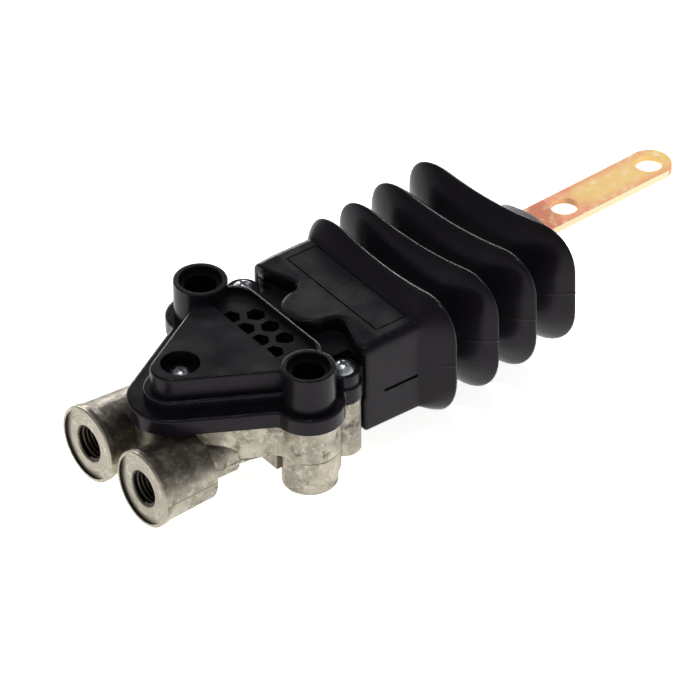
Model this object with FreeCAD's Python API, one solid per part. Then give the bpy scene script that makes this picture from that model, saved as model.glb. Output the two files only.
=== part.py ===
import FreeCAD, Part
import math
import os

# Cab suspension levelling valve, millimetres, +Z up along the mounting bolts, +X towards the lever.
# The origin is midway between the bottom faces of the two mounting bosses.

V = FreeCAD.Vector
X_DIR = V(1, 0, 0)
Y_DIR = V(0, 1, 0)
Z_DIR = V(0, 0, 1)

# Mounting bosses and the tubes of the cover above them
mount_spacing = 60.0
mount_bore_d = 11.0
mount_boss_d = 18.0
mount_tube_d = 18.2
mount_tube_top = 46.8
mount_sink_d = 14.6
mount_sink_depth = 2.6
mount_sink_round = 0.3
parting_step = 0.35

# Ports
port_spacing = 30.6
port_axis_z = 13.6
port_face_x = -57.9
port_boss_d = 26.4
port_boss_draft = 1.1
port_rim_d = 27.2
port_rim_width = 1.2
port_rim_length = 2.4
port_face_recess = 0.7
port_boss_end_x = -35.5
port_thread_d = 12.0
port_countersink_d = 13.7
port_thread_end_x = -42.9

# Plan of the cover and of the housing under it
nose_x = -33.8
nose_r = 15.2
side_angle = 29.5
ear_r = 12.0
ear_fillet = 3.0
rear_screw_x = 15.7
rear_screw_half = 27.7
screw_ear_r = 6.4
screw_ear_fillet = 1.5
front_screw_x = -30.2
housing_inset = 1.6
arch_r = 22.3
arch_x = -13.0
arch_centre_z = -8.2

# Heights of the housing and the cover
housing_bottom = 6.5
housing_top = 26.0
gasket_t = 0.8
flange_t = 6.0
step_t = 3.5
step_roof_t = 1.3
step_inset = 5.7
top_inset = 8.0
top_face_z = 43.8
cover_wall = 2.4
ridge_x = 12.9
ridge_corner = 8.0
ridge_half = 25.5
shoulder_x = -3.0
shelf_z = 38.0
rear_ear_top = 36.9
rear_ear_r = 5.6
pocket_d = 13.3
pocket_floor_z = 38.9
cover_lip_reach = 6.2
cover_lip_t = 3.0
cover_lip_play = 0.1
gasket_band = 4.2
flange_round = 1.0
step_round = 0.8
top_round = 0.9
tube_round = 0.5
boss_round = 0.7
rim_round = 0.4

# Exhaust grille in the cover
grille_front_x = -3.3
grille_rim = 1.3
grille_half = 17.2
grille_top_z = 42.0
grille_bottom_z = 37.6
cell_pitch = 8.0
cell_row_step = 7.2
cell_row_count = 2
cell_first_row = 2.6
cell_d = 6.8
filter_t = 2.2
filter_half = 15.2

# Screws
screw_d = 4.0
screw_length = 16.0
screw_head_d = 7.7
screw_head_h = 2.6
screw_play = 0.05
screw_hole_spare = 1.0
recess_arm = 0.56
recess_width = 0.15
recess_depth = 0.75
front_column_top = 36.0
front_column_r = 4.6
front_column_play = 0.3
column_r = 5.8
column_bottom = 5.0

# Lever chamber and the neck that carries the boot
chamber_front_x = -6.5
chamber_half = 21.5
chamber_floor = 8.0
chamber_wall = 3.0
bulkhead_x = 22.4
bulkhead_t = 3.2
neck_end_x = 46.0
neck_half = 28.4
neck_bottom = 11.6
neck_wall = 3.0
latch_z = 23.2
latch_length = 14.0
latch_start_x = 30.2
latch_height = 0.9
latch_reach = 1.9
lever_window_half = 19.4
lever_window_top = 34.6
stop_rib_length = 4.0

# Lever and its pivot shaft
pivot_x = 8.0
lever_rest_yaw = 2.9
lever_half_travel = 19.0
lever_width = 15.0
lever_t = 2.5
lever_top_z = 30.35
lever_hole_d = 9.5
lever_hole_1 = 126.1
lever_hole_2 = 163.65
lever_tip_r = 7.8
hub_d = 22.0
hub_t = 3.3
shaft_d = 14.0
journal_d = 9.0
rivet_d = 3.4
rivet_head_d = 5.8
rivet_head_h = 0.6
rivet_offset = 7.4
shaft_top_z = 35.0
running_play = 0.05

# Crank on the shaft
crank_radius = 4.0
crank_pin_d = 5.0
crank_web_d = 16.4
crank_web_t = 1.5
crank_gap = 6.2
thrust_washer_t = 0.8
crank_play = 0.15

# Bearings
bush_wall = 1.5
lower_bush_l = 5.0
bearing_plate_z = 31.2
bearing_plate_t = 2.4
bearing_plate_half = 20.2
bearing_plate_width = 15.0
bearing_plate_bar = 7.5
pillar_x = 4.0
pillar_half = 17.2
pillar_r = 3.6
plate_screw_d = 3.0
plate_screw_length = 9.0
plate_screw_head_d = 5.6
plate_screw_head_h = 1.6
circlip_t = 0.6
circlip_mouth = 3.2
circlip_rim = 1.2

# Spool, its sleeve and the galleries
spool_d = 8.0
spool_play = 0.02
spool_waist_d = 5.4
spool_tail_d = 6.0
spool_end_x = -37.5
sleeve_d = 15.0
sleeve_end_x = -39.0
sleeve_front_x = -12.0
sleeve_seal_pitch = 7.4
sleeve_first_seal_x = -36.4
sleeve_groove_w = 2.2
sleeve_port_d = 2.0
barrel_wall = 2.5
gallery_taper = 4.0
gallery_overrun = 0.6
oring_cord = 1.6
spool_oring_cord = 1.0
spool_groove_w = 1.2
spool_seal_inset = 2.5
gallery_d = 6.0
cross_d = 4.4
yoke_socket_d = 10.0
yoke_socket_depth = 6.5
yoke_wall = 2.2
yoke_pin_d = 2.0
yoke_pin_inset = 3.2
yoke_pin_sunk = 0.4
yoke_gap = 0.3

# Check valve in the supply port
check_bore_d = 9.4
check_bore_end_x = -34.5
inlet_filter_t = 1.0
check_seat_t = 1.6
check_disc_d = 7.6
check_disc_t = 1.5
check_gap = 0.05
spring_wire = 0.6
spring_turns = 3
spring_runs = 10
restrictor_bore_d = 2.8

# Rubber boot
boot_gap = 0.1
collar_wall = 2.6
collar_low_wall = 2.2
collar_upper_x = 22.6
collar_lower_x = 21.9
collar_front_z = 43.2
collar_top_r = 3.2
collar_low_r = 1.6
panel_x = 31.4
panel_length = 13.9
panel_half = 25.0
panel_z = 43.8
panel_depth = 0.4
collar_end_x = 46.2
tongue_r = 9.3
tongue_gap = 0.3
scallop_r = 4.0
scallop_end_half = 25.8
boot_wall = 2.2
fold_count = 4
fold_first_x = 51.9
fold_pitch = 16.43
fold_half = 37.7
fold_bottom = 3.5
fold_top = 51.2
fold_dip = 3.0
fold_top_r = 13.5
fold_bottom_r = 16.0
fold_tip = 2.4
fold_first_y = -1.0
fold_first_yaw = 1.3
fold_last_yaw = 10.0
valley_half = 24.0
valley_bottom = 13.5
valley_top = 39.2
valley_r = 9.0
valley_flat = 2.0
boot_neck_x = 110.5
boot_neck_end_x = 121.0
boot_neck_half = 14.2
boot_neck_height = 9.6
boot_neck_root = 0.6
boot_neck_round = 0.85
lever_grip_gap = 0.3

# Worked out from the sizes above
mount_half = mount_spacing / 2
port_half = port_spacing / 2
seat_z = housing_top + gasket_t
flange_top = seat_z + flange_t
step_top = flange_top + step_t
lever_bottom_z = lever_top_z - lever_t
cover_rear_x = rear_screw_x + screw_ear_r
barrel_r = sleeve_d / 2 + barrel_wall
washer_top = chamber_floor + thrust_washer_t
crank_web_bottom = washer_top + running_play
crank_pin_bottom = crank_web_bottom + crank_web_t
crank_pin_top = crank_pin_bottom + crank_gap
plate_top = bearing_plate_z + bearing_plate_t
hub_bottom = lever_bottom_z - hub_t
neck_top = shelf_z
cover_lip_end_x = cover_rear_x + cover_lip_reach
yaw_step = (fold_last_yaw - fold_first_yaw) / (fold_count - 1)


def cylinder(base, radius, length, direction=Z_DIR):
    return Part.makeCylinder(radius, length, base, direction)


def box(low, high):
    return Part.makeBox(high.x - low.x, high.y - low.y, high.z - low.z, low)


def ring(base, outer_r, inner_r, length, direction=Z_DIR):
    return cylinder(base, outer_r, length, direction).cut(cylinder(base, inner_r, length, direction))


def cone(base, r_start, r_end, length, direction=Z_DIR):
    return Part.makeCone(r_start, r_end, length, base, direction)


def joined(shapes):
    first = shapes[0]
    if len(shapes) == 1:
        return first
    return first.multiFuse(shapes[1:]).removeSplitter()


def seal_ring(place, centre_r, cord_r):
    """O-ring round an axis along X, its cord drawn as an octagon."""
    corners = []
    for k in range(9):
        turn = math.radians(45 * k + 22.5)
        corners.append(place + V(math.cos(turn), 0, math.sin(turn)) * cord_r + Z_DIR * centre_r)
    return Part.Face(Part.makePolygon(corners)).revolve(place, X_DIR, 360)


def line(start, end):
    return Part.LineSegment(start, end).toShape()


def short_arc(centre, start, end):
    radius = (start - centre).Length
    towards = (start - centre) + (end - centre)
    towards.normalize()
    return Part.Arc(start, centre + towards * radius, end).toShape()


def prism(wire, z_low, z_high):
    solid = Part.Face(wire).extrude(V(0, 0, z_high - z_low))
    solid.translate(V(0, 0, z_low))
    return solid


def softened(solid, z, radius):
    """The solid with its edges at height z rounded."""
    edges = []
    for edge in solid.Edges:
        reach = edge.BoundBox
        if abs(reach.ZMin - z) < 0.001 and abs(reach.ZMax - z) < 0.001:
            edges.append(edge)
    return solid.makeFillet(radius, edges)


def symmetric_wire(half_edges, nose):
    edges = list(half_edges)
    for edge in half_edges:
        edges.append(edge.mirror(V(0, 0, 0), Y_DIR))
    edges.append(nose)
    return Part.Wire(Part.__sortEdges__(edges))


def side_directions():
    angle = math.radians(side_angle)
    along = V(math.cos(angle), math.sin(angle), 0)
    outward = V(-math.sin(angle), math.cos(angle), 0)
    return along, outward


def nose_edge(radius, tangent):
    below = V(tangent.x, -tangent.y, 0)
    return Part.Arc(below, V(nose_x - radius, 0, 0), tangent).toShape()


def flange_outline(inset):
    """Plan of the flange: round nose, straight sides, ears round the tubes and the rear screws."""
    along, outward = side_directions()
    nose = V(nose_x, 0, 0)
    ear = V(0, mount_half, 0)
    screw = V(rear_screw_x, rear_screw_half, 0)
    r_nose = nose_r - inset
    r_ear = ear_r - inset
    r_screw = screw_ear_r - inset
    r_fillet = ear_fillet + inset
    r_notch = screw_ear_fillet + inset
    tangent = nose + outward * r_nose
    to_ear = ear - nose
    reach = r_ear + r_fillet
    height = r_nose + r_fillet - to_ear.dot(outward)
    run = to_ear.dot(along) - math.sqrt(reach ** 2 - height ** 2)
    fillet = nose + outward * (r_nose + r_fillet) + along * run
    on_side = fillet - outward * r_fillet
    on_ear = ear + (fillet - ear) * (r_ear / reach)
    notch = circle_between(ear, r_ear + r_notch, screw, r_screw + r_notch)
    ear_end = ear + (notch - ear) * (r_ear / (r_ear + r_notch))
    screw_start = screw + (notch - screw) * (r_screw / (r_screw + r_notch))
    screw_end = V(screw.x + r_screw, screw.y, 0)
    half = [
        line(tangent, on_side),
        short_arc(fillet, on_side, on_ear),
        Part.Arc(on_ear, ear + Y_DIR * r_ear, ear_end).toShape(),
        short_arc(notch, ear_end, screw_start),
        short_arc(screw, screw_start, screw_end),
        line(screw_end, V(screw_end.x, 0, 0)),
    ]
    return symmetric_wire(half, nose_edge(r_nose, tangent))


def circle_between(first, first_reach, second, second_reach):
    """Centre of a circle at the given distances from two centres, on the outer side."""
    step = second - first
    span = step.Length
    unit = step * (1 / span)
    along = (span ** 2 + first_reach ** 2 - second_reach ** 2) / (2 * span)
    height = math.sqrt(first_reach ** 2 - along ** 2)
    return first + unit * along + V(-unit.y, unit.x, 0) * height


def body_outline(inset, rear_x):
    """Plan of the raised part of the cover: it runs into the tubes and ends at a rounded ridge."""
    along, outward = side_directions()
    radius = nose_r - inset
    tangent = V(nose_x, 0, 0) + outward * radius
    shoulder = tangent + along * ((shoulder_x - tangent.x) / along.x)
    half_width = ridge_half + top_inset - inset
    corner_start = V(rear_x - ridge_corner, half_width, 0)
    corner = V(rear_x - ridge_corner, half_width - ridge_corner, 0)
    corner_end = V(rear_x, half_width - ridge_corner, 0)
    half = [
        line(tangent, shoulder),
        line(shoulder, corner_start),
        short_arc(corner, corner_start, corner_end),
        line(corner_end, V(rear_x, 0, 0)),
    ]
    return symmetric_wire(half, nose_edge(radius, tangent))


def rear_screw_places():
    return [V(rear_screw_x, side * rear_screw_half, 0) for side in (-1, 1)]


def mount_places():
    return [V(0, side * mount_half, 0) for side in (-1, 1)]


def port_places():
    return [V(port_face_x, side * port_half, port_axis_z) for side in (-1, 1)]


# Housing

def port_boss(face):
    rim_r = port_rim_d / 2
    boss_r = port_boss_d / 2
    boss = cone(face, boss_r, boss_r - port_boss_draft, port_boss_end_x - port_face_x, X_DIR)
    rim = cylinder(face, rim_r, port_rim_length, X_DIR)
    rim = rim.makeChamfer(rim_round, [edge for edge in rim.Edges if edge.BoundBox.XMax < face.x + rim_round])
    blend_r = boss_r - 2 * port_rim_length * port_boss_draft / (port_boss_end_x - port_face_x)
    blend = cone(face + X_DIR * port_rim_length, rim_r, blend_r, port_rim_length, X_DIR)
    return [boss, rim, blend]


def port_cuts(face):
    recess_r = port_rim_d / 2 - port_rim_width
    bore_r = port_thread_d / 2
    sink_r = port_countersink_d / 2
    sink_depth = sink_r - bore_r
    floor = face + X_DIR * port_face_recess
    return [
        cylinder(face, recess_r, port_face_recess, X_DIR),
        cylinder(face, bore_r, port_thread_end_x - port_face_x, X_DIR),
        cone(floor, sink_r, bore_r, sink_depth, X_DIR),
    ]


def seal_places():
    return [sleeve_first_seal_x + i * sleeve_seal_pitch for i in range(4)]


def groove_places():
    seals = seal_places()
    return [(seals[i] + seals[i + 1]) / 2 for i in range(2)]


def gallery_cuts():
    supply_x, delivery_x = groove_places()
    supply = V(port_thread_end_x, -port_half, port_axis_z)
    delivery = V(port_thread_end_x, port_half, port_axis_z)
    reach = sleeve_d / 2 - oring_cord
    length = port_half - reach
    past_cross = cross_d / 2 + gallery_overrun
    return [
        cylinder(supply, check_bore_d / 2, check_bore_end_x - port_thread_end_x, X_DIR),
        cylinder(supply, gallery_d / 2, supply_x + past_cross - port_thread_end_x, X_DIR),
        cylinder(V(supply_x, -port_half, port_axis_z), cross_d / 2, length, Y_DIR),
        cylinder(delivery, check_bore_d / 2, check_seat_t, X_DIR),
        cylinder(delivery, gallery_d / 2, delivery_x + past_cross - port_thread_end_x, X_DIR),
        cylinder(V(delivery_x, reach, port_axis_z), cross_d / 2, length, Y_DIR),
    ]


def mount_boss(place):
    lower = softened(cylinder(place, mount_boss_d / 2 + parting_step, port_axis_z), 0, boss_round)
    upper = cylinder(place, mount_boss_d / 2, housing_top)
    return [lower, upper]


def underside_arch():
    """The side walls rise in an arch between the port bosses and the mounting bosses."""
    return cylinder(V(arch_x, -mount_spacing, arch_centre_z), arch_r, 2 * mount_spacing, Y_DIR)


def gallery_barrel(face):
    """Round swelling behind a port boss that holds its gallery and tapers into the side wall."""
    barrel = check_bore_d / 2 + barrel_wall
    end = groove_places()[1] + cross_d / 2
    start = V(port_boss_end_x, face.y, face.z)
    taper = cone(V(end, face.y, face.z), barrel, barrel - gallery_taper, gallery_taper, X_DIR)
    return [cylinder(start, barrel, end - port_boss_end_x, X_DIR), taper]


def valve_housing():
    solids = [prism(flange_outline(housing_inset), housing_bottom, housing_top).cut(underside_arch())]
    barrel_length = bulkhead_x - sleeve_end_x
    barrel_base = V(sleeve_end_x - barrel_wall, 0, port_axis_z)
    solids.append(cylinder(barrel_base, barrel_r, barrel_length / 2, X_DIR))
    for face in port_places():
        solids.extend(port_boss(face))
        solids.extend(gallery_barrel(face))
    for place in mount_places():
        solids.extend(mount_boss(place))
    for place in rear_screw_places():
        solids.append(cylinder(place + Z_DIR * column_bottom, column_r, housing_top - column_bottom))
    chamber_side = chamber_half + chamber_wall
    solids.append(box(V(chamber_front_x - chamber_wall, -chamber_side, chamber_floor - chamber_wall),
                      V(bulkhead_x, chamber_side, housing_top)))
    solids.append(cylinder(V(pivot_x, 0, chamber_floor - lower_bush_l - bush_wall),
                           journal_d / 2 + 2 * bush_wall + chamber_wall / 2, lower_bush_l + bush_wall))
    solids.append(box(V(bulkhead_x, -neck_half, neck_bottom), V(neck_end_x, neck_half, neck_top)))
    body = joined(solids)
    cuts = [prism(flange_outline(0), housing_top, seat_z).cut(box(
        V(bulkhead_x, -neck_half, housing_top), V(neck_end_x, neck_half, seat_z)))]
    for face in port_places():
        cuts.extend(port_cuts(face))
    cuts.extend(gallery_cuts())
    for place in mount_places():
        cuts.append(cylinder(place, mount_bore_d / 2, housing_top))
    screw_hole_r = screw_d / 2
    for place in rear_screw_places():
        depth = screw_length - (rear_ear_top - housing_top) + screw_hole_spare
        cuts.append(cylinder(place + Z_DIR * (housing_top - depth), screw_hole_r, depth))
    lip_room = box(V(bulkhead_x, -neck_half, neck_top - cover_lip_t), V(cover_lip_end_x, neck_half, neck_top))
    cuts.append(lip_room)
    cuts.append(box(V(chamber_front_x, -chamber_half, chamber_floor), V(bulkhead_x, chamber_half, neck_top)))
    cuts.append(box(V(bulkhead_x, -chamber_half, neck_bottom + neck_wall),
                    V(bulkhead_x + bulkhead_t, chamber_half, neck_top - neck_wall)))
    inner_half = neck_half - neck_wall
    cuts.append(box(V(bulkhead_x + bulkhead_t, -inner_half, neck_bottom + neck_wall),
                    V(neck_end_x, inner_half, neck_top - neck_wall)))
    bore_r = sleeve_d / 2 + spool_play
    cuts.append(cylinder(V(sleeve_end_x, 0, port_axis_z), bore_r, chamber_front_x - sleeve_end_x, X_DIR))
    cuts.append(cylinder(V(sleeve_front_x, 0, port_axis_z), bore_r + circlip_t, 2 * circlip_t, X_DIR))
    bush_r = journal_d / 2 + bush_wall
    cuts.append(cylinder(V(pivot_x, 0, chamber_floor - lower_bush_l), bush_r, lower_bush_l))
    body = body.cut(cuts)
    front_hole = V(front_screw_x, 0, pocket_floor_z - screw_length - screw_hole_spare / 2)
    front_column = cylinder(V(front_screw_x, 0, housing_top), front_column_r, front_column_top - housing_top)
    body = body.fuse(front_column).cut(cylinder(front_hole, screw_hole_r, front_column_top - front_hole.z))
    additions = []
    for side in (-1, 1):
        pillar = V(pillar_x, side * pillar_half, chamber_floor)
        column = cylinder(pillar, pillar_r, bearing_plate_z - chamber_floor)
        hole_depth = plate_screw_length - bearing_plate_t + screw_hole_spare
        hole_base = V(pillar.x, pillar.y, bearing_plate_z - hole_depth)
        additions.append(column.cut(cylinder(hole_base, plate_screw_d / 2, hole_depth)))
        additions.append(latch_rib(side))
        additions.append(stop_rib(side))
    return joined([body] + additions)


def latch_rib(side):
    """Rib on the side of the neck that the boot's collar snaps over."""
    inner = side * neck_half
    outer = side * (neck_half + latch_reach)
    return box(V(latch_start_x, min(inner, outer), latch_z - latch_height / 2),
               V(latch_start_x + latch_length, max(inner, outer), latch_z + latch_height / 2))


def stop_rib(side):
    """Rib inside the neck that the lever meets just past its working travel."""
    angle = math.radians(lever_half_travel)
    run = neck_end_x - pivot_x
    reach = run * math.tan(angle) + lever_width / 2 / math.cos(angle) + lever_grip_gap
    wall_y = neck_half - neck_wall
    low = V(neck_end_x - stop_rib_length, min(side * reach, side * wall_y), neck_bottom + neck_wall)
    high = V(neck_end_x, max(side * reach, side * wall_y), neck_top - neck_wall)
    return box(low, high)


# Cover, its seal, grille, filter and screws

def honeycomb_cells():
    """Rows of round-cornered hexagonal cells across the exhaust opening."""
    cells = []
    depth = grille_top_z - grille_bottom_z
    first_row = grille_front_x + cell_first_row
    for row in range(cell_row_count):
        shift = 0.0 if row % 2 else 0.5
        per_side = int((grille_half - cell_d / 2) / cell_pitch - shift)
        first = -per_side if shift == 0 else -per_side - 1
        for i in range(first, per_side + 1):
            centre = V(first_row + row * cell_row_step, (i + shift) * cell_pitch, grille_bottom_z)
            corners = []
            for k in range(7):
                turn = math.radians(60 * k)
                corners.append(centre + V(math.cos(turn), math.sin(turn), 0) * (cell_d / 2))
            hexagon = Part.Face(Part.makePolygon(corners))
            cells.append(hexagon.extrude(V(0, 0, depth)))
    return cells


def cover_columns():
    """Tubes over the mounting bosses and ears round the rear screws."""
    columns = []
    for place in mount_places():
        tube = cylinder(place + Z_DIR * seat_z, mount_tube_d / 2, mount_tube_top - seat_z)
        columns.append(softened(tube, mount_tube_top, tube_round))
    for place in rear_screw_places():
        columns.append(cylinder(place + Z_DIR * seat_z, rear_ear_r, rear_ear_top - seat_z))
    return columns


def cover_cavity():
    """Hollow of the cover, which leaves the walls, the columns and the screw pocket standing."""
    inner_rear = ridge_x - cover_wall
    step_roof = step_top - step_roof_t
    low = prism(body_outline(step_inset + cover_wall, cover_rear_x - cover_wall), seat_z, step_roof)
    high = prism(body_outline(top_inset + cover_wall, inner_rear), seat_z, grille_bottom_z)
    front_limit = box(V(nose_x - nose_r, -mount_spacing, grille_bottom_z),
                      V(grille_front_x - cover_wall, mount_spacing, top_face_z))
    front = prism(body_outline(top_inset + cover_wall, inner_rear), grille_bottom_z, top_face_z - cover_wall)
    pocket = V(front_screw_x, 0, front_column_top)
    keep = cover_columns()
    keep.append(cylinder(pocket, pocket_d / 2 + cover_wall, top_face_z - front_column_top))
    return joined([low, high, front.common(front_limit)]).cut(keep)


def grille_recess():
    """Shallow recess over the exhaust opening, from tube to tube in front of the ridge."""
    behind_edge = box(V(grille_front_x, -mount_spacing, grille_top_z), V(ridge_x, mount_spacing, top_face_z))
    inside_rim = prism(body_outline(top_inset + grille_rim, ridge_x - grille_rim), grille_top_z, top_face_z)
    return inside_rim.common(behind_edge).cut(cover_columns())


def screw_clearances():
    """Holes for the cover screws, the sleeve over the front column and the pocket above it."""
    hole_r = screw_d / 2 + 2 * screw_play
    front = V(front_screw_x, 0, 0)
    holes = [
        cylinder(front + Z_DIR * seat_z, front_column_r + front_column_play, front_column_top - seat_z),
        cylinder(front + Z_DIR * front_column_top, hole_r, pocket_floor_z - front_column_top),
        cylinder(front + Z_DIR * pocket_floor_z, pocket_d / 2, top_face_z - pocket_floor_z),
    ]
    for place in rear_screw_places():
        holes.append(cylinder(place + Z_DIR * seat_z, hole_r, rear_ear_top - seat_z))
    return holes


def top_cover():
    shelf_half = rear_screw_half - screw_ear_r
    solids = [
        softened(prism(flange_outline(0), seat_z, flange_top), flange_top, flange_round),
        softened(prism(body_outline(step_inset, cover_rear_x - step_inset / 2), seat_z, step_top),
                 step_top, step_round),
        softened(prism(body_outline(top_inset, ridge_x), seat_z, top_face_z), top_face_z, top_round),
        box(V(ridge_x - cover_wall, -shelf_half, flange_top), V(cover_rear_x, shelf_half, shelf_z)),
        box(V(cover_rear_x - cover_wall, -shelf_half, shelf_z - cover_lip_t),
            V(cover_lip_end_x, shelf_half, shelf_z)),
        box(V(bulkhead_x + cover_lip_play, -neck_half, shelf_z - cover_lip_t),
            V(cover_lip_end_x, neck_half, shelf_z)),
    ]
    body = joined(solids + cover_columns()).cut(cover_cavity())
    cuts = screw_clearances()
    for place in mount_places():
        cuts.append(cylinder(place + Z_DIR * seat_z, mount_bore_d / 2, mount_tube_top - seat_z))
        sink_r = mount_sink_d / 2
        cuts.append(cylinder(place + Z_DIR * (mount_tube_top - mount_sink_depth), sink_r, mount_sink_depth))
        edge = mount_tube_top - mount_sink_round
        cuts.append(cone(place + Z_DIR * edge, sink_r, sink_r + mount_sink_round, mount_sink_round))
    cuts.append(grille_recess())
    cuts.extend(honeycomb_cells())
    cuts.append(box(V(ridge_x - cover_wall, -lever_window_half, seat_z),
                    V(cover_rear_x, lever_window_half, lever_window_top)))
    return body.cut(cuts).removeSplitter()


def cover_gasket():
    """Flat rubber seal that follows the flange between the housing and the cover."""
    outer = prism(flange_outline(housing_inset), housing_top, seat_z)
    inner = prism(flange_outline(housing_inset + gasket_band), housing_top, seat_z)
    seal = outer.cut(inner)
    holes = [cylinder(place + Z_DIR * housing_top, mount_bore_d / 2, gasket_t) for place in mount_places()]
    for place in rear_screw_places():
        holes.append(cylinder(place + Z_DIR * housing_top, screw_d / 2 + 2 * screw_play, gasket_t))
    rear_gap = box(V(bulkhead_x - gasket_band - chamber_wall, -lever_window_half, housing_top),
                   V(bulkhead_x, lever_window_half, seat_z))
    holes.append(rear_gap)
    return seal.cut(holes)


def pan_screw(seat, diameter, length, head_d, head_h):
    """Pan-head screw: domed head, cross recess and plain shank, standing on its seat."""
    head_r = head_d / 2
    dome_r = (head_r ** 2 + head_h ** 2) / (2 * head_h)
    dome = Part.makeSphere(dome_r, seat + Z_DIR * (head_h - dome_r))
    head = cylinder(seat, head_r, head_h).common(dome)
    arm = head_r * recess_arm
    width = head_r * recess_width
    depth = head_h * recess_depth
    slot = [box(seat + V(-arm, -width, head_h - depth), seat + V(arm, width, head_h)),
            box(seat + V(-width, -arm, head_h - depth), seat + V(width, arm, head_h))]
    shank = cylinder(seat - Z_DIR * length, diameter / 2 - screw_play, length)
    return joined([head.cut(slot), shank])


def cover_screws():
    seats = [V(front_screw_x, 0, pocket_floor_z)]
    for place in rear_screw_places():
        seats.append(place + Z_DIR * rear_ear_top)
    return [pan_screw(seat, screw_d, screw_length, screw_head_d, screw_head_h) for seat in seats]


def exhaust_filter():
    return box(V(grille_front_x + cover_wall / 2, -filter_half, grille_bottom_z - filter_t),
               V(ridge_x - cover_wall, filter_half, grille_bottom_z))


# Bearings of the pivot shaft

def lower_bush():
    base = V(pivot_x, 0, chamber_floor - lower_bush_l)
    return ring(base, journal_d / 2 + bush_wall, journal_d / 2 + running_play, lower_bush_l)


def thrust_washer():
    base = V(pivot_x, 0, chamber_floor)
    return ring(base, crank_web_d / 2, journal_d / 2 + running_play, thrust_washer_t)


def upper_bush():
    base = V(pivot_x, 0, bearing_plate_z)
    return ring(base, journal_d / 2 + bush_wall, journal_d / 2 + running_play, bearing_plate_t)


def bearing_plate():
    """Bridge over the lever that holds the upper bush, screwed to the two pillars."""
    half_width = bearing_plate_width / 2
    half_bar = bearing_plate_bar / 2
    hub = cylinder(V(pivot_x, 0, bearing_plate_z), half_width, bearing_plate_t)
    bar = box(V(pillar_x - half_bar, -bearing_plate_half, bearing_plate_z),
              V(pillar_x + half_bar, bearing_plate_half, plate_top))
    plate = joined([hub, bar])
    cuts = [cylinder(V(pivot_x, 0, bearing_plate_z), journal_d / 2 + bush_wall, bearing_plate_t)]
    for side in (-1, 1):
        hole_r = plate_screw_d / 2 + screw_play
        cuts.append(cylinder(V(pillar_x, side * pillar_half, bearing_plate_z), hole_r, bearing_plate_t))
    return plate.cut(cuts)


def bearing_plate_screws():
    seats = [V(pillar_x, side * pillar_half, plate_top) for side in (-1, 1)]
    return [pan_screw(seat, plate_screw_d, plate_screw_length, plate_screw_head_d, plate_screw_head_h)
            for seat in seats]


# Lever body

def turned_with_lever(shape):
    shape.rotate(V(pivot_x, 0, 0), Z_DIR, lever_rest_yaw)
    return shape


def pivot_shaft():
    """Crankshaft: lower journal, two webs with the crank pin between them, hub flange and upper journal."""
    axis = V(pivot_x, 0, 0)
    journal_r = journal_d / 2
    start = chamber_floor - lower_bush_l + running_play
    upper_web_top = crank_pin_top + crank_web_t
    pin_base = V(pivot_x, crank_radius, crank_pin_bottom)
    pieces = [
        cylinder(axis + Z_DIR * start, journal_r, crank_web_bottom - start),
        cylinder(axis + Z_DIR * crank_web_bottom, crank_web_d / 2, crank_web_t),
        cylinder(pin_base, crank_pin_d / 2, crank_gap),
        cylinder(axis + Z_DIR * crank_pin_top, crank_web_d / 2, crank_web_t),
        cylinder(axis + Z_DIR * upper_web_top, shaft_d / 2, hub_bottom - upper_web_top),
        cylinder(axis + Z_DIR * hub_bottom, hub_d / 2, hub_t),
        cylinder(axis + Z_DIR * lever_bottom_z, journal_r, shaft_top_z - lever_bottom_z),
    ]
    shaft = joined(pieces)
    groove_r = journal_r - circlip_t
    groove = ring(axis + Z_DIR * (plate_top + running_play), journal_d, groove_r, circlip_t)
    holes = [groove]
    for place in rivet_places():
        holes.append(cylinder(place + Z_DIR * hub_bottom, rivet_d / 2, hub_t))
    return shaft.cut(holes)


def rivet_places():
    yaw = math.radians(lever_rest_yaw)
    return [V(pivot_x + side * rivet_offset * math.cos(yaw), side * rivet_offset * math.sin(yaw), 0)
            for side in (-1, 1)]


def shaft_circlip():
    base = V(pivot_x, 0, plate_top + running_play)
    clip = ring(base, journal_d / 2 + circlip_rim, journal_d / 2 - circlip_t, circlip_t)
    mouth = box(base + V(-journal_d, -circlip_mouth / 2, 0), base + V(0, circlip_mouth / 2, circlip_t))
    return clip.cut(mouth)


def lever_arm():
    """Flat strip with a round foot on the hub, two link holes and a rounded tip."""
    base = V(pivot_x, 0, lever_bottom_z)
    half = lever_width / 2
    tip = base + X_DIR * lever_hole_2
    strip = joined([
        cylinder(base, hub_d / 2, lever_t),
        box(base - Y_DIR * half, tip + V(0, half, lever_t)),
        cylinder(tip, lever_tip_r, lever_t),
    ])
    cuts = [cylinder(base, journal_d / 2 + running_play, lever_t)]
    for distance in (lever_hole_1, lever_hole_2):
        cuts.append(cylinder(base + X_DIR * distance, lever_hole_d / 2, lever_t))
    for side in (-1, 1):
        cuts.append(cylinder(base + X_DIR * (side * rivet_offset), rivet_d / 2, lever_t))
    return turned_with_lever(strip.cut(cuts))


def lever_rivets():
    rivets = []
    for place in rivet_places():
        shank = cylinder(place + Z_DIR * hub_bottom, rivet_d / 2, hub_t + lever_t)
        head = cone(place + Z_DIR * lever_top_z, rivet_head_d / 2, rivet_d / 2, rivet_head_h)
        rivets.append(joined([shank, head]))
    return rivets


# Spool, yoke and sleeve

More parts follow.
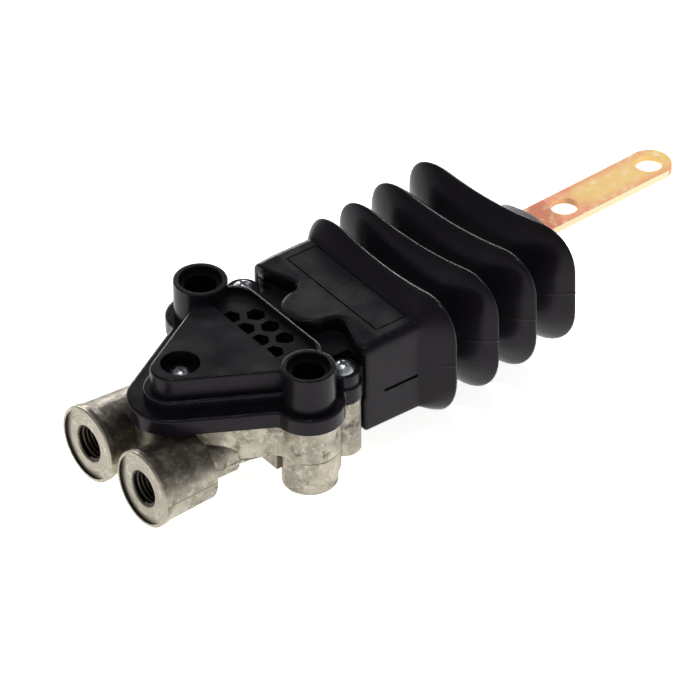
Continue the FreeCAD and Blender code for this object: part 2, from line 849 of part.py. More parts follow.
def valve_spool():
    """Spool with two sealed ends, two waists under the ported grooves and a tail for the yoke."""
    land_r = spool_d / 2 - spool_play
    land_end = yoke_socket_start()
    body = cylinder(V(spool_end_x, 0, port_axis_z), land_r, land_end - spool_end_x, X_DIR)
    tail = cylinder(V(land_end, 0, port_axis_z), spool_tail_d / 2, yoke_socket_depth, X_DIR)
    waist_w = sleeve_seal_pitch / 2
    cuts = []
    for place in groove_places():
        start = V(place - waist_w / 2, 0, port_axis_z)
        cuts.append(ring(start, spool_d, spool_waist_d / 2, waist_w, X_DIR))
    for place in spool_seal_places():
        start = V(place - spool_groove_w / 2, 0, port_axis_z)
        cuts.append(ring(start, spool_d, land_r - spool_oring_cord, spool_groove_w, X_DIR))
    cuts.append(cylinder(yoke_pin_place(), yoke_pin_d / 2, yoke_socket_d))
    return joined([body, tail]).cut(cuts)


def spool_seal_places():
    return [spool_end_x + spool_seal_inset, sleeve_front_x - travel() - spool_seal_inset]


def spool_seals():
    cord_r = spool_oring_cord / 2 - spool_play
    centre_r = spool_d / 2 - spool_play - spool_oring_cord / 2
    return [seal_ring(V(place, 0, port_axis_z), centre_r, cord_r) for place in spool_seal_places()]


def travel():
    """Largest travel of the spool from its place at rest."""
    angle = math.radians(lever_half_travel + lever_rest_yaw)
    return crank_radius * angle


def yoke_socket_start():
    return sleeve_front_x + 2 * circlip_t + travel() + yoke_gap


def yoke_pin_place():
    return V(yoke_socket_start() + yoke_pin_inset, 0, port_axis_z - yoke_socket_d / 2 + yoke_pin_sunk)


def spool_yoke():
    """Fork that the crank pin drives: a round socket for the spool and a slotted head."""
    start = yoke_socket_start()
    head_start = pivot_x - crank_web_d / 2 - travel() - yoke_gap
    socket = cylinder(V(start, 0, port_axis_z), yoke_socket_d / 2, head_start - start, X_DIR)
    low_z = crank_pin_bottom + yoke_gap
    high_z = crank_pin_top - yoke_gap
    slot_half = crank_pin_d / 2 + crank_play
    swing = crank_radius * (1 - math.cos(math.radians(lever_half_travel + lever_rest_yaw)))
    slot_low = crank_radius - slot_half - swing
    slot_high = crank_radius + slot_half
    neck = box(V(head_start - yoke_wall, -yoke_socket_d / 2, low_z), V(head_start, yoke_socket_d / 2, high_z))
    head = box(V(head_start, -yoke_socket_d / 2, low_z),
               V(pivot_x + slot_half + yoke_wall, slot_high + yoke_wall, high_z))
    slot = box(V(pivot_x - slot_half, slot_low, low_z), V(pivot_x + slot_half, slot_high, high_z))
    bore = cylinder(V(start, 0, port_axis_z), spool_tail_d / 2, yoke_socket_depth, X_DIR)
    pin_hole = cylinder(yoke_pin_place(), yoke_pin_d / 2, yoke_socket_d)
    return joined([socket, neck, head]).cut([slot, bore, pin_hole])


def yoke_pin():
    return cylinder(yoke_pin_place(), yoke_pin_d / 2, yoke_socket_d - 2 * yoke_pin_sunk)


def spool_sleeve():
    """Brass sleeve with a row of seal grooves and two ported grooves between them."""
    base = V(sleeve_end_x, 0, port_axis_z)
    length = sleeve_front_x - sleeve_end_x
    sleeve = ring(base, sleeve_d / 2, spool_d / 2, length, X_DIR)
    groove_r = sleeve_d / 2 - oring_cord
    cuts = []
    for place in seal_places():
        start = V(place - sleeve_groove_w / 2, 0, port_axis_z)
        cuts.append(ring(start, sleeve_d, groove_r, sleeve_groove_w, X_DIR))
    for place in groove_places():
        cuts.append(ring(V(place - cross_d / 2, 0, port_axis_z), sleeve_d, groove_r, cross_d, X_DIR))
        cuts.append(cylinder(V(place, -sleeve_d, port_axis_z), sleeve_port_d / 2, 2 * sleeve_d, Y_DIR))
        cuts.append(cylinder(V(place, 0, port_axis_z - sleeve_d), sleeve_port_d / 2, 2 * sleeve_d, Z_DIR))
    return sleeve.cut(cuts)


def sleeve_seals():
    cord_r = oring_cord / 2 - spool_play
    centre_r = sleeve_d / 2 - oring_cord / 2
    return [seal_ring(V(place, 0, port_axis_z), centre_r, cord_r) for place in seal_places()]


def sleeve_circlip():
    base = V(sleeve_front_x + running_play, 0, port_axis_z)
    outer = sleeve_d / 2 + circlip_t
    clip = ring(base, outer, sleeve_d / 2 - circlip_rim, circlip_t, X_DIR)
    mouth = box(base + V(0, -circlip_mouth / 2, 0), base + V(circlip_t, circlip_mouth / 2, sleeve_d))
    return clip.cut(mouth)


# Parts in the ports

def inlet_filter():
    return cylinder(V(port_thread_end_x, -port_half, port_axis_z), check_bore_d / 2, inlet_filter_t, X_DIR)


def check_seat_x():
    return port_thread_end_x + inlet_filter_t


def check_valve_seat():
    base = V(check_seat_x(), -port_half, port_axis_z)
    return ring(base, check_bore_d / 2, check_disc_d / 4, check_seat_t, X_DIR)


def check_disc_x():
    return check_seat_x() + check_seat_t + check_gap


def check_valve_disc():
    base = V(check_disc_x(), -port_half, port_axis_z)
    disc = cylinder(base, check_disc_d / 2, check_disc_t, X_DIR)
    guide = cylinder(base + X_DIR * check_disc_t, check_disc_d / 5, check_disc_t / 2, X_DIR)
    return joined([disc, guide])


def check_valve_spring():
    """Coil spring between the disc and the end of its bore, its wire bent in short straight runs."""
    start = check_disc_x() + check_disc_t + check_gap + spring_wire / 2
    rise = check_bore_end_x - spring_wire / 2 - start
    mean_r = check_disc_d / 2 - spring_wire
    run_count = spring_turns * spring_runs
    points = []
    for k in range(run_count + 1):
        turn = 2 * math.pi * k / spring_runs
        points.append(V(start + rise * k / run_count, mean_r * math.cos(turn) - port_half,
                        mean_r * math.sin(turn) + port_axis_z))
    path = Part.makePolygon(points)
    section = Part.Wire(Part.makeCircle(spring_wire / 2, points[0], points[1] - points[0]))
    return path.makePipeShell([section], True, True, 1)


def delivery_restrictor():
    base = V(port_thread_end_x, port_half, port_axis_z)
    return ring(base, check_bore_d / 2, restrictor_bore_d / 2, check_seat_t, X_DIR)


# Rubber boot

def boot_section(place, half, low, high, top_r, low_r, dip):
    """Closed cross-section: rounded rectangle whose top edge may sag in the middle."""
    x, y, yaw = place
    s = math.sqrt(0.5)
    top_y = half - top_r
    low_y = half - low_r
    points = {
        "tl": V(0, top_y, high), "tr": V(0, -top_y, high),
        "rt": V(0, -half, high - top_r), "rb": V(0, -half, low + low_r),
        "br": V(0, -low_y, low), "bl": V(0, low_y, low),
        "lb": V(0, half, low + low_r), "lt": V(0, half, high - top_r),
    }
    top_mid = V(0, 0, high - dip)
    corner_rt = V(0, -top_y - top_r * s, high - top_r + top_r * s)
    corner_lt = V(0, top_y + top_r * s, high - top_r + top_r * s)
    corner_rb = V(0, -low_y - low_r * s, low + low_r - low_r * s)
    corner_lb = V(0, low_y + low_r * s, low + low_r - low_r * s)
    top = line(points["tl"], points["tr"])
    if dip > 0:
        top = Part.Arc(points["tl"], top_mid, points["tr"]).toShape()
    edges = [
        top,
        Part.Arc(points["tr"], corner_rt, points["rt"]).toShape(),
        line(points["rt"], points["rb"]),
        Part.Arc(points["rb"], corner_rb, points["br"]).toShape(),
        line(points["br"], points["bl"]),
        Part.Arc(points["bl"], corner_lb, points["lb"]).toShape(),
        line(points["lb"], points["lt"]),
        Part.Arc(points["lt"], corner_lt, points["tl"]).toShape(),
    ]
    wire = Part.Wire(edges)
    wire.rotate(V(0, 0, 0), Z_DIR, yaw)
    wire.translate(V(x, y, 0))
    return wire


def boot_axis(x):
    """Point and direction of the bent centre line of the bellows."""
    turn = (x - fold_first_x) / fold_pitch * yaw_step
    yaw = fold_first_yaw + turn
    middle = math.radians(fold_first_yaw + turn / 2)
    y = fold_first_y + (x - fold_first_x) * math.tan(middle)
    return (x, y, yaw)


def fold_places():
    return [fold_first_x + i * fold_pitch for i in range(fold_count)]


def lever_line(x):
    yaw = math.radians(lever_rest_yaw)
    return (x, (x - pivot_x) * math.tan(yaw), lever_rest_yaw)


def bellows_sections(wall):
    """Sections of the bellows from the collar to the neck, pulled in by the wall thickness."""
    sections = []
    tip = max(fold_tip / 2 - wall / 2, 0.3)
    flat = valley_flat / 2 + wall / 2
    folds = fold_places()
    for i, x in enumerate(folds):
        for side in (-1, 1):
            sections.append(boot_section(boot_axis(x + side * tip), fold_half - wall, fold_bottom + wall,
                                         fold_top - wall, fold_top_r - wall, fold_bottom_r - wall, fold_dip))
        if i < fold_count - 1:
            middle = x + fold_pitch / 2
            for side in (-1, 1):
                sections.append(boot_section(boot_axis(middle + side * flat), valley_half - wall,
                                             valley_bottom + wall, valley_top - wall, valley_r - wall,
                                             valley_r - wall, 0))
    return sections


def neck_section(x, grow):
    middle_z = lever_top_z - lever_t / 2
    half_height = boot_neck_height / 2 + grow
    return boot_section(lever_line(x), boot_neck_half + grow, middle_z - half_height, middle_z + half_height,
                        half_height * boot_neck_round, half_height * boot_neck_round, 0)


def collar_section(x, high, top_r):
    half = neck_half + boot_gap + collar_wall
    low = neck_bottom - boot_gap - collar_low_wall
    return boot_section((x, 0, 0), half, low, high, top_r, collar_low_r, 0)


def tongue():
    """Round tongue over the cover between two scallops that leave room for the rear screws."""
    middle = V(collar_upper_x, 0, 0)
    root = middle + Y_DIR * tongue_r
    notch = root + Y_DIR * scallop_r
    start = V(collar_upper_x, scallop_end_half, 0)
    back = V(panel_x, scallop_end_half, 0)
    turn = math.acos(scallop_r / (start.y - notch.y))
    deep = notch + V(math.sin(turn), math.cos(turn), 0) * scallop_r
    half = [
        line(back, start),
        line(start, deep),
        short_arc(notch, deep, root),
        short_arc(middle, root, middle - X_DIR * tongue_r),
    ]
    return prism(symmetric_wire(half, line(back, V(back.x, -back.y, 0))), shelf_z + tongue_gap, panel_z)


def latch_slot(side):
    """Slot in the collar's side wall that the rib on the neck snaps into."""
    inner = side * (neck_half - boot_gap)
    outer = side * (neck_half + boot_gap + 2 * collar_wall)
    half_height = latch_height / 2 + boot_gap
    return box(V(latch_start_x - boot_gap, min(inner, outer), latch_z - half_height),
               V(latch_start_x + latch_length + boot_gap, max(inner, outer), latch_z + half_height))


def boot():
    """One rubber moulding: collar over the neck, four deep folds and a small neck round the lever."""
    inner_half = neck_half + boot_gap
    inner_low = neck_bottom - boot_gap
    inner_high = neck_top + boot_gap
    outer_sections = [
        collar_section(collar_upper_x, collar_front_z, collar_top_r),
        collar_section(panel_x, panel_z, collar_top_r),
        collar_section(collar_end_x, panel_z, collar_top_r),
    ]
    outer_sections.extend(bellows_sections(0))
    outer_sections.append(neck_section(boot_neck_x, boot_neck_root))
    outer_sections.append(neck_section(boot_neck_end_x, 0))
    skin = Part.makeLoft(outer_sections, True, True)
    lower_lip = box(V(collar_lower_x, -inner_half - collar_wall, inner_low),
                    V(collar_upper_x, inner_half + collar_wall, latch_z))
    front_room = box(V(collar_upper_x, -scallop_end_half, inner_high), V(panel_x, scallop_end_half, panel_z))
    solid = joined([skin.cut(front_room), lower_lip, tongue()])
    first = boot_section((neck_end_x, 0, 0), inner_half, inner_low, inner_high, collar_low_r, collar_low_r, 0)
    last = neck_section(boot_neck_x - boot_wall, -boot_wall / 2)
    cavity = Part.makeLoft([first] + bellows_sections(boot_wall) + [last], True, True)
    neck_room = box(V(collar_lower_x, -inner_half, inner_low), V(neck_end_x, inner_half, inner_high))
    slot_half = lever_width / 2 + lever_grip_gap
    grip = box(V(pivot_x, -slot_half, lever_bottom_z - lever_grip_gap),
               V(boot_neck_end_x + boot_wall, slot_half, lever_top_z + lever_grip_gap))
    panel_end = V(panel_x + panel_length, panel_half, panel_z)
    panel = box(V(panel_x, -panel_half, panel_z - panel_depth), panel_end)
    cuts = [cavity, neck_room, turned_with_lever(grip), panel, latch_slot(-1), latch_slot(1)]
    return solid.cut(cuts).removeSplitter()


NODES = {
    "valve_housing": valve_housing,
    "top_cover": top_cover,
    "cover_gasket": cover_gasket,
    "cover_screws": cover_screws,
    "exhaust_filter": exhaust_filter,
    "lower_bush": lower_bush,
    "thrust_washer": thrust_washer,
    "upper_bush": upper_bush,
    "bearing_plate": bearing_plate,
    "bearing_plate_screws": bearing_plate_screws,
    "pivot_shaft": pivot_shaft,
    "shaft_circlip": shaft_circlip,
    "lever_arm": lever_arm,
    "lever_rivets": lever_rivets,
    "valve_spool": valve_spool,
    "spool_seals": spool_seals,
    "spool_yoke": spool_yoke,
    "yoke_pin": yoke_pin,
    "spool_sleeve": spool_sleeve,
    "sleeve_seals": sleeve_seals,
    "sleeve_circlip": sleeve_circlip,
    "inlet_filter": inlet_filter,
    "check_valve_seat": check_valve_seat,
    "check_valve_disc": check_valve_disc,
    "check_valve_spring": check_valve_spring,
    "delivery_restrictor": delivery_restrictor,
    "lever_boot": boot,
}

os.makedirs("parts", exist_ok=True)
for name, make in NODES.items():
    shape = make()
    if isinstance(shape, list):
        shape = Part.makeCompound(shape)
    shape.exportStep("parts/" + name + ".step")
    print(name, "solids", len(shape.Solids), "valid", shape.isValid(), "volume", round(shape.Volume, 1))
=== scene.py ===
"""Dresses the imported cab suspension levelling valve: boot, threads, spring, finishes and a plain studio."""
import math

import bmesh
import bpy
import numpy as np
from bpy.props import FloatProperty, FloatVectorProperty, IntProperty, PointerProperty
from mathutils import Matrix, Vector


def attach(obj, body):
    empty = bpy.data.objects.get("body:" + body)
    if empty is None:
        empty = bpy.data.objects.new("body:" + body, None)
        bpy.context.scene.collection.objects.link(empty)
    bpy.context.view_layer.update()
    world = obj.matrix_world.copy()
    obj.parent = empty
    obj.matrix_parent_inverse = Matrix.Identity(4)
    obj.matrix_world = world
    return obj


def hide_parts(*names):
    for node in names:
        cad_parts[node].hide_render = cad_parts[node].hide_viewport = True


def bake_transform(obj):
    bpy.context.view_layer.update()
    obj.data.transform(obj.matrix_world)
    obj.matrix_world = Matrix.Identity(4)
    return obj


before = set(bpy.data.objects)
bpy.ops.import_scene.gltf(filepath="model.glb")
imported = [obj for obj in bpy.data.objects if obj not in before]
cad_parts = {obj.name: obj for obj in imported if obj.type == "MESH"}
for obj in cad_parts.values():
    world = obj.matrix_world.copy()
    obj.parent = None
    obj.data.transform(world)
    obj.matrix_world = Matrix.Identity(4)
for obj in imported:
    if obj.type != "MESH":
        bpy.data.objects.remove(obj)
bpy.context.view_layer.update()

bl_info = {
    "name": "Cab Suspension Valve",
    "version": (1, 0, 0),
    "blender": (4, 5, 0),
    "location": "View3D > Sidebar > Valve",
    "description": "Dresses the packed levelling valve with its boot, threads, spring, finishes and studio",
    "category": "Object",
}

MM = 0.001

# Boot, in millimetres and degrees. A section is its half width, bottom, top, upper and lower corner radius.
# FOLD_ values are one for each fold, from the collar to the neck
COLLAR = (31.1, 9.3, 43.8, 3.2, 1.6)
COLLAR_ROOM = (28.5, 11.5, 38.3, 0.4, 0.4)
LEVER_SLOT = (7.8, 27.55, 30.65, 0.3, 0.3)
COLLAR_HALF, COLLAR_LOW, COLLAR_HIGH, COLLAR_TOP_R, COLLAR_LOW_R = COLLAR
COLLAR_FRONT_X = 22.6
COLLAR_LIP_X = 21.9
COLLAR_FRONT_DROP = 0.6
COLLAR_END_X = 44.34
LATCH_Z = 23.2
LATCH_HALF_HEIGHT = 0.6
LATCH_START_X = 30.1
LATCH_END_X = 44.0
LATCH_DEPTH = 0.7
TONGUE_R = 9.3
SCALLOP_R = 4.0
SCALLOP_HALF = 25.8
ROOF_LINE_X = 29.6
PANEL_START_X = 31.4
PANEL_END_X = 44.2
PANEL_HALF = 25.0
GROOVE = 0.6
EDGE = 0.12
GROOVE_STEPS = (0, EDGE, GROOVE - EDGE, GROOVE)
PART_LINE = 0.2
FOLD_X = (51.46, 67.09, 83.53, 101.65)
FOLD_Y = (-2.24, -1.01, 1.52, 4.0)
FOLD_YAW = (1.38, 6.71, 7.86, 9.58)
FOLD_WIDER = (0.0, -0.57, -0.02, -0.75)
FOLD_HIGHER = (0.0, 0.55, 0.0, 0.2)
NECK_ROOT_X = 109.8
NECK_END_X = 121.4
NECK_HALF = 13.4
NECK_HALF_HEIGHT = 2.9
NECK_FLARE = 1.4
NECK_ROUND = 3.4
LEVER_MIDDLE_Z = 29.1
LEVER_YAW = 2.9
PIVOT_X = 8.0

# Rows of the boot along X, in millimetres, where no form asks for one
COLLAR_ROWS_X = (34.5, 37.5, 40.5, 42.5)
NECK_ROWS_X = (112, 115, 118, 120.5)
SLOT_ROWS_X = (NECK_END_X - EDGE, 115, NECK_ROOT_X)
ROOM_ROWS_X = (COLLAR_END_X - 1, 38, 32)
ROOF_ROWS = 7

# Folds, by phase: each whole phase is a ridge. A span is how far in phase a fold reaches to each side
COLLAR_PHASE = -0.5
NECK_PHASE = 3.5
PHASES = (COLLAR_PHASE, 0, 1, 2, 3, NECK_PHASE)
ROOM_PHASES = (-0.4, 3.4)
FOLD_SPAN = 0.5
ROOM_SPAN = 0.36
RIDGE_CROWDING = 1.6
FOLD_STEPS = 12
FOLD_ATTRIBUTES = {"fold_phase": "FLOAT", "fold_span": "FLOAT", "lean": "FLOAT", "shift": "FLOAT",
                   "fold_reach": "FLOAT_VECTOR"}

# Shares: of a side's height for the mould's bead, of the roof's front edge for its tip and for how far its
# direction is read, of the neck's half height for its corners, and of a rim's radius at 45 degrees
BEAD_REACHES = (0.012, 0.03)
BEAD_LIMIT = 0.02
TONGUE_TIP = 0.01
OUTLINE_SPAN = 0.02
NECK_CORNER = 0.85
ROUNDED = 1 - math.sqrt(0.5)

# Steps of the meshes, and the angle in degrees from which an edge is a crease
TOP_STEPS = 96
SIDE_STEPS = 16
BOTTOM_STEPS = 28
ARC_STEPS = 10
OUTLINE_STEPS = 24
WIRE_SIDES = 8
CREASE_ANGLE = 55

# Ports, in millimetres
PORT_HALF = 15.3
PORT_AXIS_Z = 13.6
PORT_FACE_X = -57.9
PORT_BORE_R = 6.0
THREAD_START_X = -56.0
THREAD_END_X = -43.6
SPRING_START_X = -38.4
SPRING_END_X = -34.8
SPRING_R = 3.2
SPRING_TURNS = 3

# Camera, from the photograph's perspective, in millimetres and degrees
CAMERA_TARGET = (20.489, -19.751, 41.757)
CAMERA_AZIMUTH = 53.6865
CAMERA_ELEVATION = 37.0241
CAMERA_ROLL = -0.7461
CAMERA_DISTANCE = 3870.24
CAMERA_LENS = 622.095
CAMERA_SENSOR = 36

# Floor, in metres
FLOOR_HALF = 4.0
FLOOR_Z = -0.0004

# Kinds of node, settings and ranges that come back
MATH = "ShaderNodeMath"
RANGE = "ShaderNodeMapRange"
MIX = "ShaderNodeMix"
NOISE = "ShaderNodeTexNoise"
SMOOTH = {"interpolation_type": "SMOOTHSTEP"}
COLOURS = {"data_type": "RGBA"}
TIMES = {"operation": "MULTIPLY"}
NOISE_RANGE = {"From Min": 0.3, "From Max": 0.7}
FALLING = {"To Min": 1.0, "To Max": 0.0}


def linear(code):
    """Linear colour of an sRGB hex code."""
    parts = [int(code[i:i + 2], 16) / 255 for i in (1, 3, 5)]
    return [p / 12.92 if p <= 0.04045 else ((p + 0.055) / 1.055) ** 2.4 for p in parts]


def colour(name, description, code):
    """A colour that the user may change."""
    return FloatVectorProperty(name=name, description=description, subtype="COLOR", size=3, min=0, max=1,
                               default=linear(code))


def amount(name, description, value, **limits):
    """A plain number that the user may change."""
    return FloatProperty(name=name, description=description, default=value, **{"min": 0, **limits})


def length(name, description, millimetres):
    """A length that the user may change."""
    return amount(name, description, millimetres * MM, unit="LENGTH")


class BootSizes(bpy.types.PropertyGroup):
    """Sizes of the rubber boot."""
    fold_half: length("Fold half width", "Half the width of the boot across a fold", 38.76)
    fold_bottom: length("Fold bottom", "Height of a fold's lowest edge", 2.99)
    fold_top: length("Fold top", "Height of a fold's top at its sides", 54.11)
    fold_dip: length("Fold dip", "How far a fold's top sags in the middle", 5.84)
    fold_top_r: length("Fold top radius", "Corner radius of a fold at its top", 16.96)
    fold_low_r: length("Fold bottom radius", "Corner radius of a fold at its bottom", 18.43)
    valley_half: length("Valley half width", "Half the width of the boot between two folds", 24.0)
    valley_bottom: length("Valley bottom", "Height of the underside between two folds", 14.65)
    valley_top: length("Valley top", "Height of the top between two folds", 39.2)
    valley_r: length("Valley radius", "Corner radius between two folds", 9.0)
    wall: length("Wall", "Thickness of the rubber in the folds", 2.2)
    groove_depth: length("Groove depth", "Depth of the groove round the panel in the collar's roof", 0.35)
    ridge: amount("Ridge rounding", "Share of the space between two folds that is rounded", 0.09, max=0.5)
    rim_r: length("Rim radius", "Rounding of the moulding's open edges", 0.7)
    fullness: amount("Fullness", "At 1 a fold's sides are flat, above 1 they bulge", 1.34, min=0.5, max=3)
    fillet: amount("Valley fillet", "How softly a fold starts from the valley beside it", 0.12, max=1)


class PortSizes(bpy.types.PropertyGroup):
    """Sizes of the threads in the two ports and of the spring."""
    pitch: length("Thread pitch", "Distance from one thread to the next", 1.5)
    crest: length("Thread crest", "Radius of the ridge that stands for one thread", 0.62)
    wire: length("Spring wire", "Radius of the wire of the spring in the supply port", 0.3)
    steps: IntProperty(name="Steps per turn", description="Straight runs in a turn of thread or spring",
                       min=12, max=96, default=40)


class Finishes(bpy.types.PropertyGroup):
    """Colours of the finishes."""
    casting: colour("Casting", "Main tone of the die-cast housing", "#989285")
    casting_light: colour("Casting, light", "Bright patches of the casting", "#bfb8a8")
    casting_dark: colour("Casting, dark", "Dull patches of the casting", "#565048")
    nylon: colour("Nylon", "Glass-filled nylon of the cover", "#19161b")
    rubber: colour("Rubber", "Moulded rubber of the boot", "#18151a")
    seal: colour("Seal rubber", "Nitrile rubber of the seals", "#121213")
    passivation: colour("Passivation", "Yellow chromate film on the lever", "#f6cf82")
    passivation_pink: colour("Passivation, pink", "Thicker film, where it turns pink", "#ee8c78")
    passivation_brown: colour("Passivation, brown", "Thickest film, beside the boot", "#d4805e")
    passivation_pale: colour("Passivation, pale", "Thin film, almost bare zinc", "#fbe9bd")
    zinc: colour("Zinc", "Bright zinc plate of the screws", "#dfe3e8")
    steel: colour("Steel", "Turned steel of the shaft and its fittings", "#b9babd")
    bronze: colour("Bronze", "Sintered bronze and turned brass", "#b98d4f")
    anodised: colour("Anodised aluminium", "Hard-anodised spool", "#8d8f92")
    foam: colour("Foam", "Open-cell filter pad", "#4a4c49")


class StageSettings(bpy.types.PropertyGroup):
    """Light and floor of the studio."""
    strip_power: amount("Strip light", "Power of the long low light behind the valve", 30.0, unit="POWER")
    lever_power: amount("Lever light", "Power of the narrow light over the lever", 120.0, unit="POWER")
    cover_power: amount("Cover light", "Power of the narrow light over the cover", 60.0, unit="POWER")
    sky: amount("Backdrop", "Strength of the white surround near the floor", 0.62)
    ceiling: amount("Ceiling", "Strength of the surround overhead", 0.17)
    glow: amount("Floor glow", "Light that comes through the paper from below", 0.9)
    floor: colour("Floor", "Matt white paper under the valve", "#fbfbfa")


def feed(tree, node, inputs):
    """Set a node's inputs. Each is a value, or the output or the node that feeds it."""
    for name, value in inputs.items():
        if isinstance(value, bpy.types.Node):
            value = next(output for output in value.outputs if output.enabled)
        if isinstance(value, bpy.types.NodeSocket):
            tree.links.new(value, node.inputs[name])
        else:
            node.inputs[name].default_value = value


def add_node(tree, kind, inputs=(), **settings):
    """Add a node with its settings and what its inputs are fed."""
    node = tree.nodes.new(kind)
    for name, value in settings.items():
        setattr(node, name, value)
    feed(tree, node, dict(inputs))
    return node


def start_tree(name, inputs):
    """A new geometry tree with its named inputs, and the outputs that give them inside it."""
    tree = bpy.data.node_groups.new(name, "GeometryNodeTree")
    for socket, kind in inputs.items():
        tree.interface.new_socket(socket, in_out="INPUT", socket_type="NodeSocket" + kind)
    tree.interface.new_socket("Geometry", in_out="OUTPUT", socket_type="NodeSocketGeometry")
    return tree, add_node(tree, "NodeGroupInput").outputs


def end_tree(tree, geometry, material):
    """Make a tree's geometry real, give it its material and hand it out."""
    real = add_node(tree, "GeometryNodeRealizeInstances", {"Geometry": geometry})
    done = add_node(tree, "GeometryNodeSetMaterial", {"Geometry": real, "Material": material})
    add_node(tree, "NodeGroupOutput", {0: done})
    return tree


# Boot

def section_columns():
    """Columns round a rounded rectangle: share of its width, share of its height, outward normal."""
    panel = [(PANEL_HALF - step) / (COLLAR_HALF - COLLAR_TOP_R) for step in GROOVE_STEPS]
    top = np.unique(np.concatenate([np.linspace(-1, 1, TOP_STEPS + 1), panel, np.negative(panel)]))
    low_z = COLLAR_LOW + COLLAR_LOW_R
    run_z = COLLAR_HIGH - COLLAR_TOP_R - low_z
    latch = [(LATCH_Z + side * (LATCH_HALF_HEIGHT + grow) - low_z) / run_z
             for side in (-1, 1) for grow in (0, -EDGE)]
    bead = [0.5 + side * reach for side in (-1, 1) for reach in BEAD_REACHES]
    sides = np.unique(np.concatenate([np.linspace(0, 1, SIDE_STEPS + 1), latch, bead]))
    bottom = np.linspace(-1, 1, BOTTOM_STEPS + 1)
    turns = np.linspace(0, math.pi / 2, ARC_STEPS + 1)[1:-1]
    columns = [(share, 1, 0, 1) for share in top[::-1]]
    columns += [(-1, 1, -math.sin(turn), math.cos(turn)) for turn in turns]
    columns += [(-1, share, -1, 0) for share in sides[::-1]]
    columns += [(-1, 0, -math.cos(turn), -math.sin(turn)) for turn in turns]
    columns += [(share, 0, 0, -1) for share in bottom]
    columns += [(1, 0, math.sin(turn), -math.cos(turn)) for turn in turns]
    columns += [(1, share, 1, 0) for share in sides]
    columns += [(1, 1, math.cos(turn), math.sin(turn)) for turn in turns]
    return np.array(columns, float)


def section(columns, half, low, high, top_r, low_r):
    """Points (y, z) of a rounded rectangle, one for each column."""
    share, height, out_y, out_z = columns.T
    radius = np.where(height < 0.5, low_r, top_r)
    y = share * (half - radius) + out_y * radius
    z = low + low_r + height * (high - top_r - low - low_r) + out_z * radius
    return np.stack([y, z], axis=1)


def at_x(x, points):
    """A row: the points of a section, stood up at x."""
    return np.column_stack([np.full(len(points), x), points])


def part_line(columns):
    """Outward step of each column's fine bead, where the halves of the mould met."""
    on_bead = (np.abs(columns[:, 2]) == 1) & (np.abs(columns[:, 1] - 0.5) < BEAD_LIMIT)
    return np.where(on_bead, np.sign(columns[:, 0]) * PART_LINE, 0)


def fold_section(columns, sizes, fold, wall):
    """Points of a fold's widest section: its top sags in the middle."""
    half = sizes.fold_half / MM + FOLD_WIDER[fold] - wall
    low, high = sizes.fold_bottom / MM + wall, sizes.fold_top / MM + FOLD_HIGHER[fold] - wall
    points = section(columns, half, low, high, sizes.fold_top_r / MM - wall, sizes.fold_low_r / MM - wall)
    middle = (low + high) / 2
    upper = np.clip((points[:, 1] - middle) / (high - middle), 0, 1)
    points[:, 1] -= sizes.fold_dip / MM * (1 - (points[:, 0] / half) ** 2) * upper
    if wall == 0:
        points[:, 0] += part_line(columns)
    return points


def arc_points(centre, radius, start, end):
    """Points on an arc in plan, between two angles in degrees."""
    turns = np.radians(np.linspace(start, end, OUTLINE_STEPS + 1))
    return [(centre[0] + radius * math.cos(turn), centre[1] + radius * math.sin(turn)) for turn in turns]


def roof_outline():
    """Plan of the roof's front edge on the +Y side: collar corner, scallop, tongue."""
    notch_y = TONGUE_R + SCALLOP_R
    lean = math.degrees(math.asin(SCALLOP_R / (SCALLOP_HALF - notch_y)))
    points = [(COLLAR_FRONT_X, COLLAR_HALF - COLLAR_TOP_R), (COLLAR_FRONT_X, SCALLOP_HALF)]
    points += arc_points((COLLAR_FRONT_X, notch_y), SCALLOP_R, lean, -90)
    points += arc_points((COLLAR_FRONT_X, 0), TONGUE_R, 90, 180)[1:]
    return np.array(points)


def along_outline(points, share):
    """Point and inward direction at a share of an open outline's length."""
    steps = np.linalg.norm(np.diff(points, axis=0), axis=1)
    marks = np.concatenate([[0], np.cumsum(steps)]) / steps.sum()
    near = np.clip([share, share - OUTLINE_SPAN, share + OUTLINE_SPAN], 0, 1)
    place, before, after = np.stack([np.interp(near, marks, points[:, i]) for i in (0, 1)], axis=1)
    direction = (after - before) / np.linalg.norm(after - before)
    return place, np.array([-direction[1], direction[0]])


def front_edge(columns):
    """Outer and inner point of the collar's open edge for each column, and the way into the rubber."""
    outline = roof_outline()
    collar = section(columns, COLLAR_HALF, COLLAR_LOW, COLLAR_HIGH - COLLAR_FRONT_DROP, COLLAR_TOP_R,
                     COLLAR_LOW_R)
    room = section(columns, *COLLAR_ROOM)
    outer, inner, into = [], [], []
    for (share, _, out_y, out_z), (y, z), (room_y, room_z) in zip(columns, collar, room):
        if out_z == 1:
            place, direction = along_outline(outline, 1 - abs(share))
            side = 1 if share >= 0 else -1
            y = side * place[1]
            drop = COLLAR_FRONT_DROP * np.clip((abs(y) - TONGUE_R) / (SCALLOP_HALF - TONGUE_R), 0, 1)
            outer.append((place[0], y, COLLAR_HIGH - drop))
            inner.append((place[0], y, COLLAR_ROOM[2]))
            turned = np.array([direction[0], side * direction[1], 0])
            into.append(turned if turned[0] > 0 or abs(share) < TONGUE_TIP else -turned)
            continue
        lip = abs(out_y) == 1 and z < LATCH_Z
        x = COLLAR_LIP_X if lip else COLLAR_FRONT_X
        outer.append((x, y, z))
        inner.append((x, room_y, room_z))
        into.append(np.array([1.0, 0, 0]))
    return np.array(outer), np.array(inner), np.array(into)


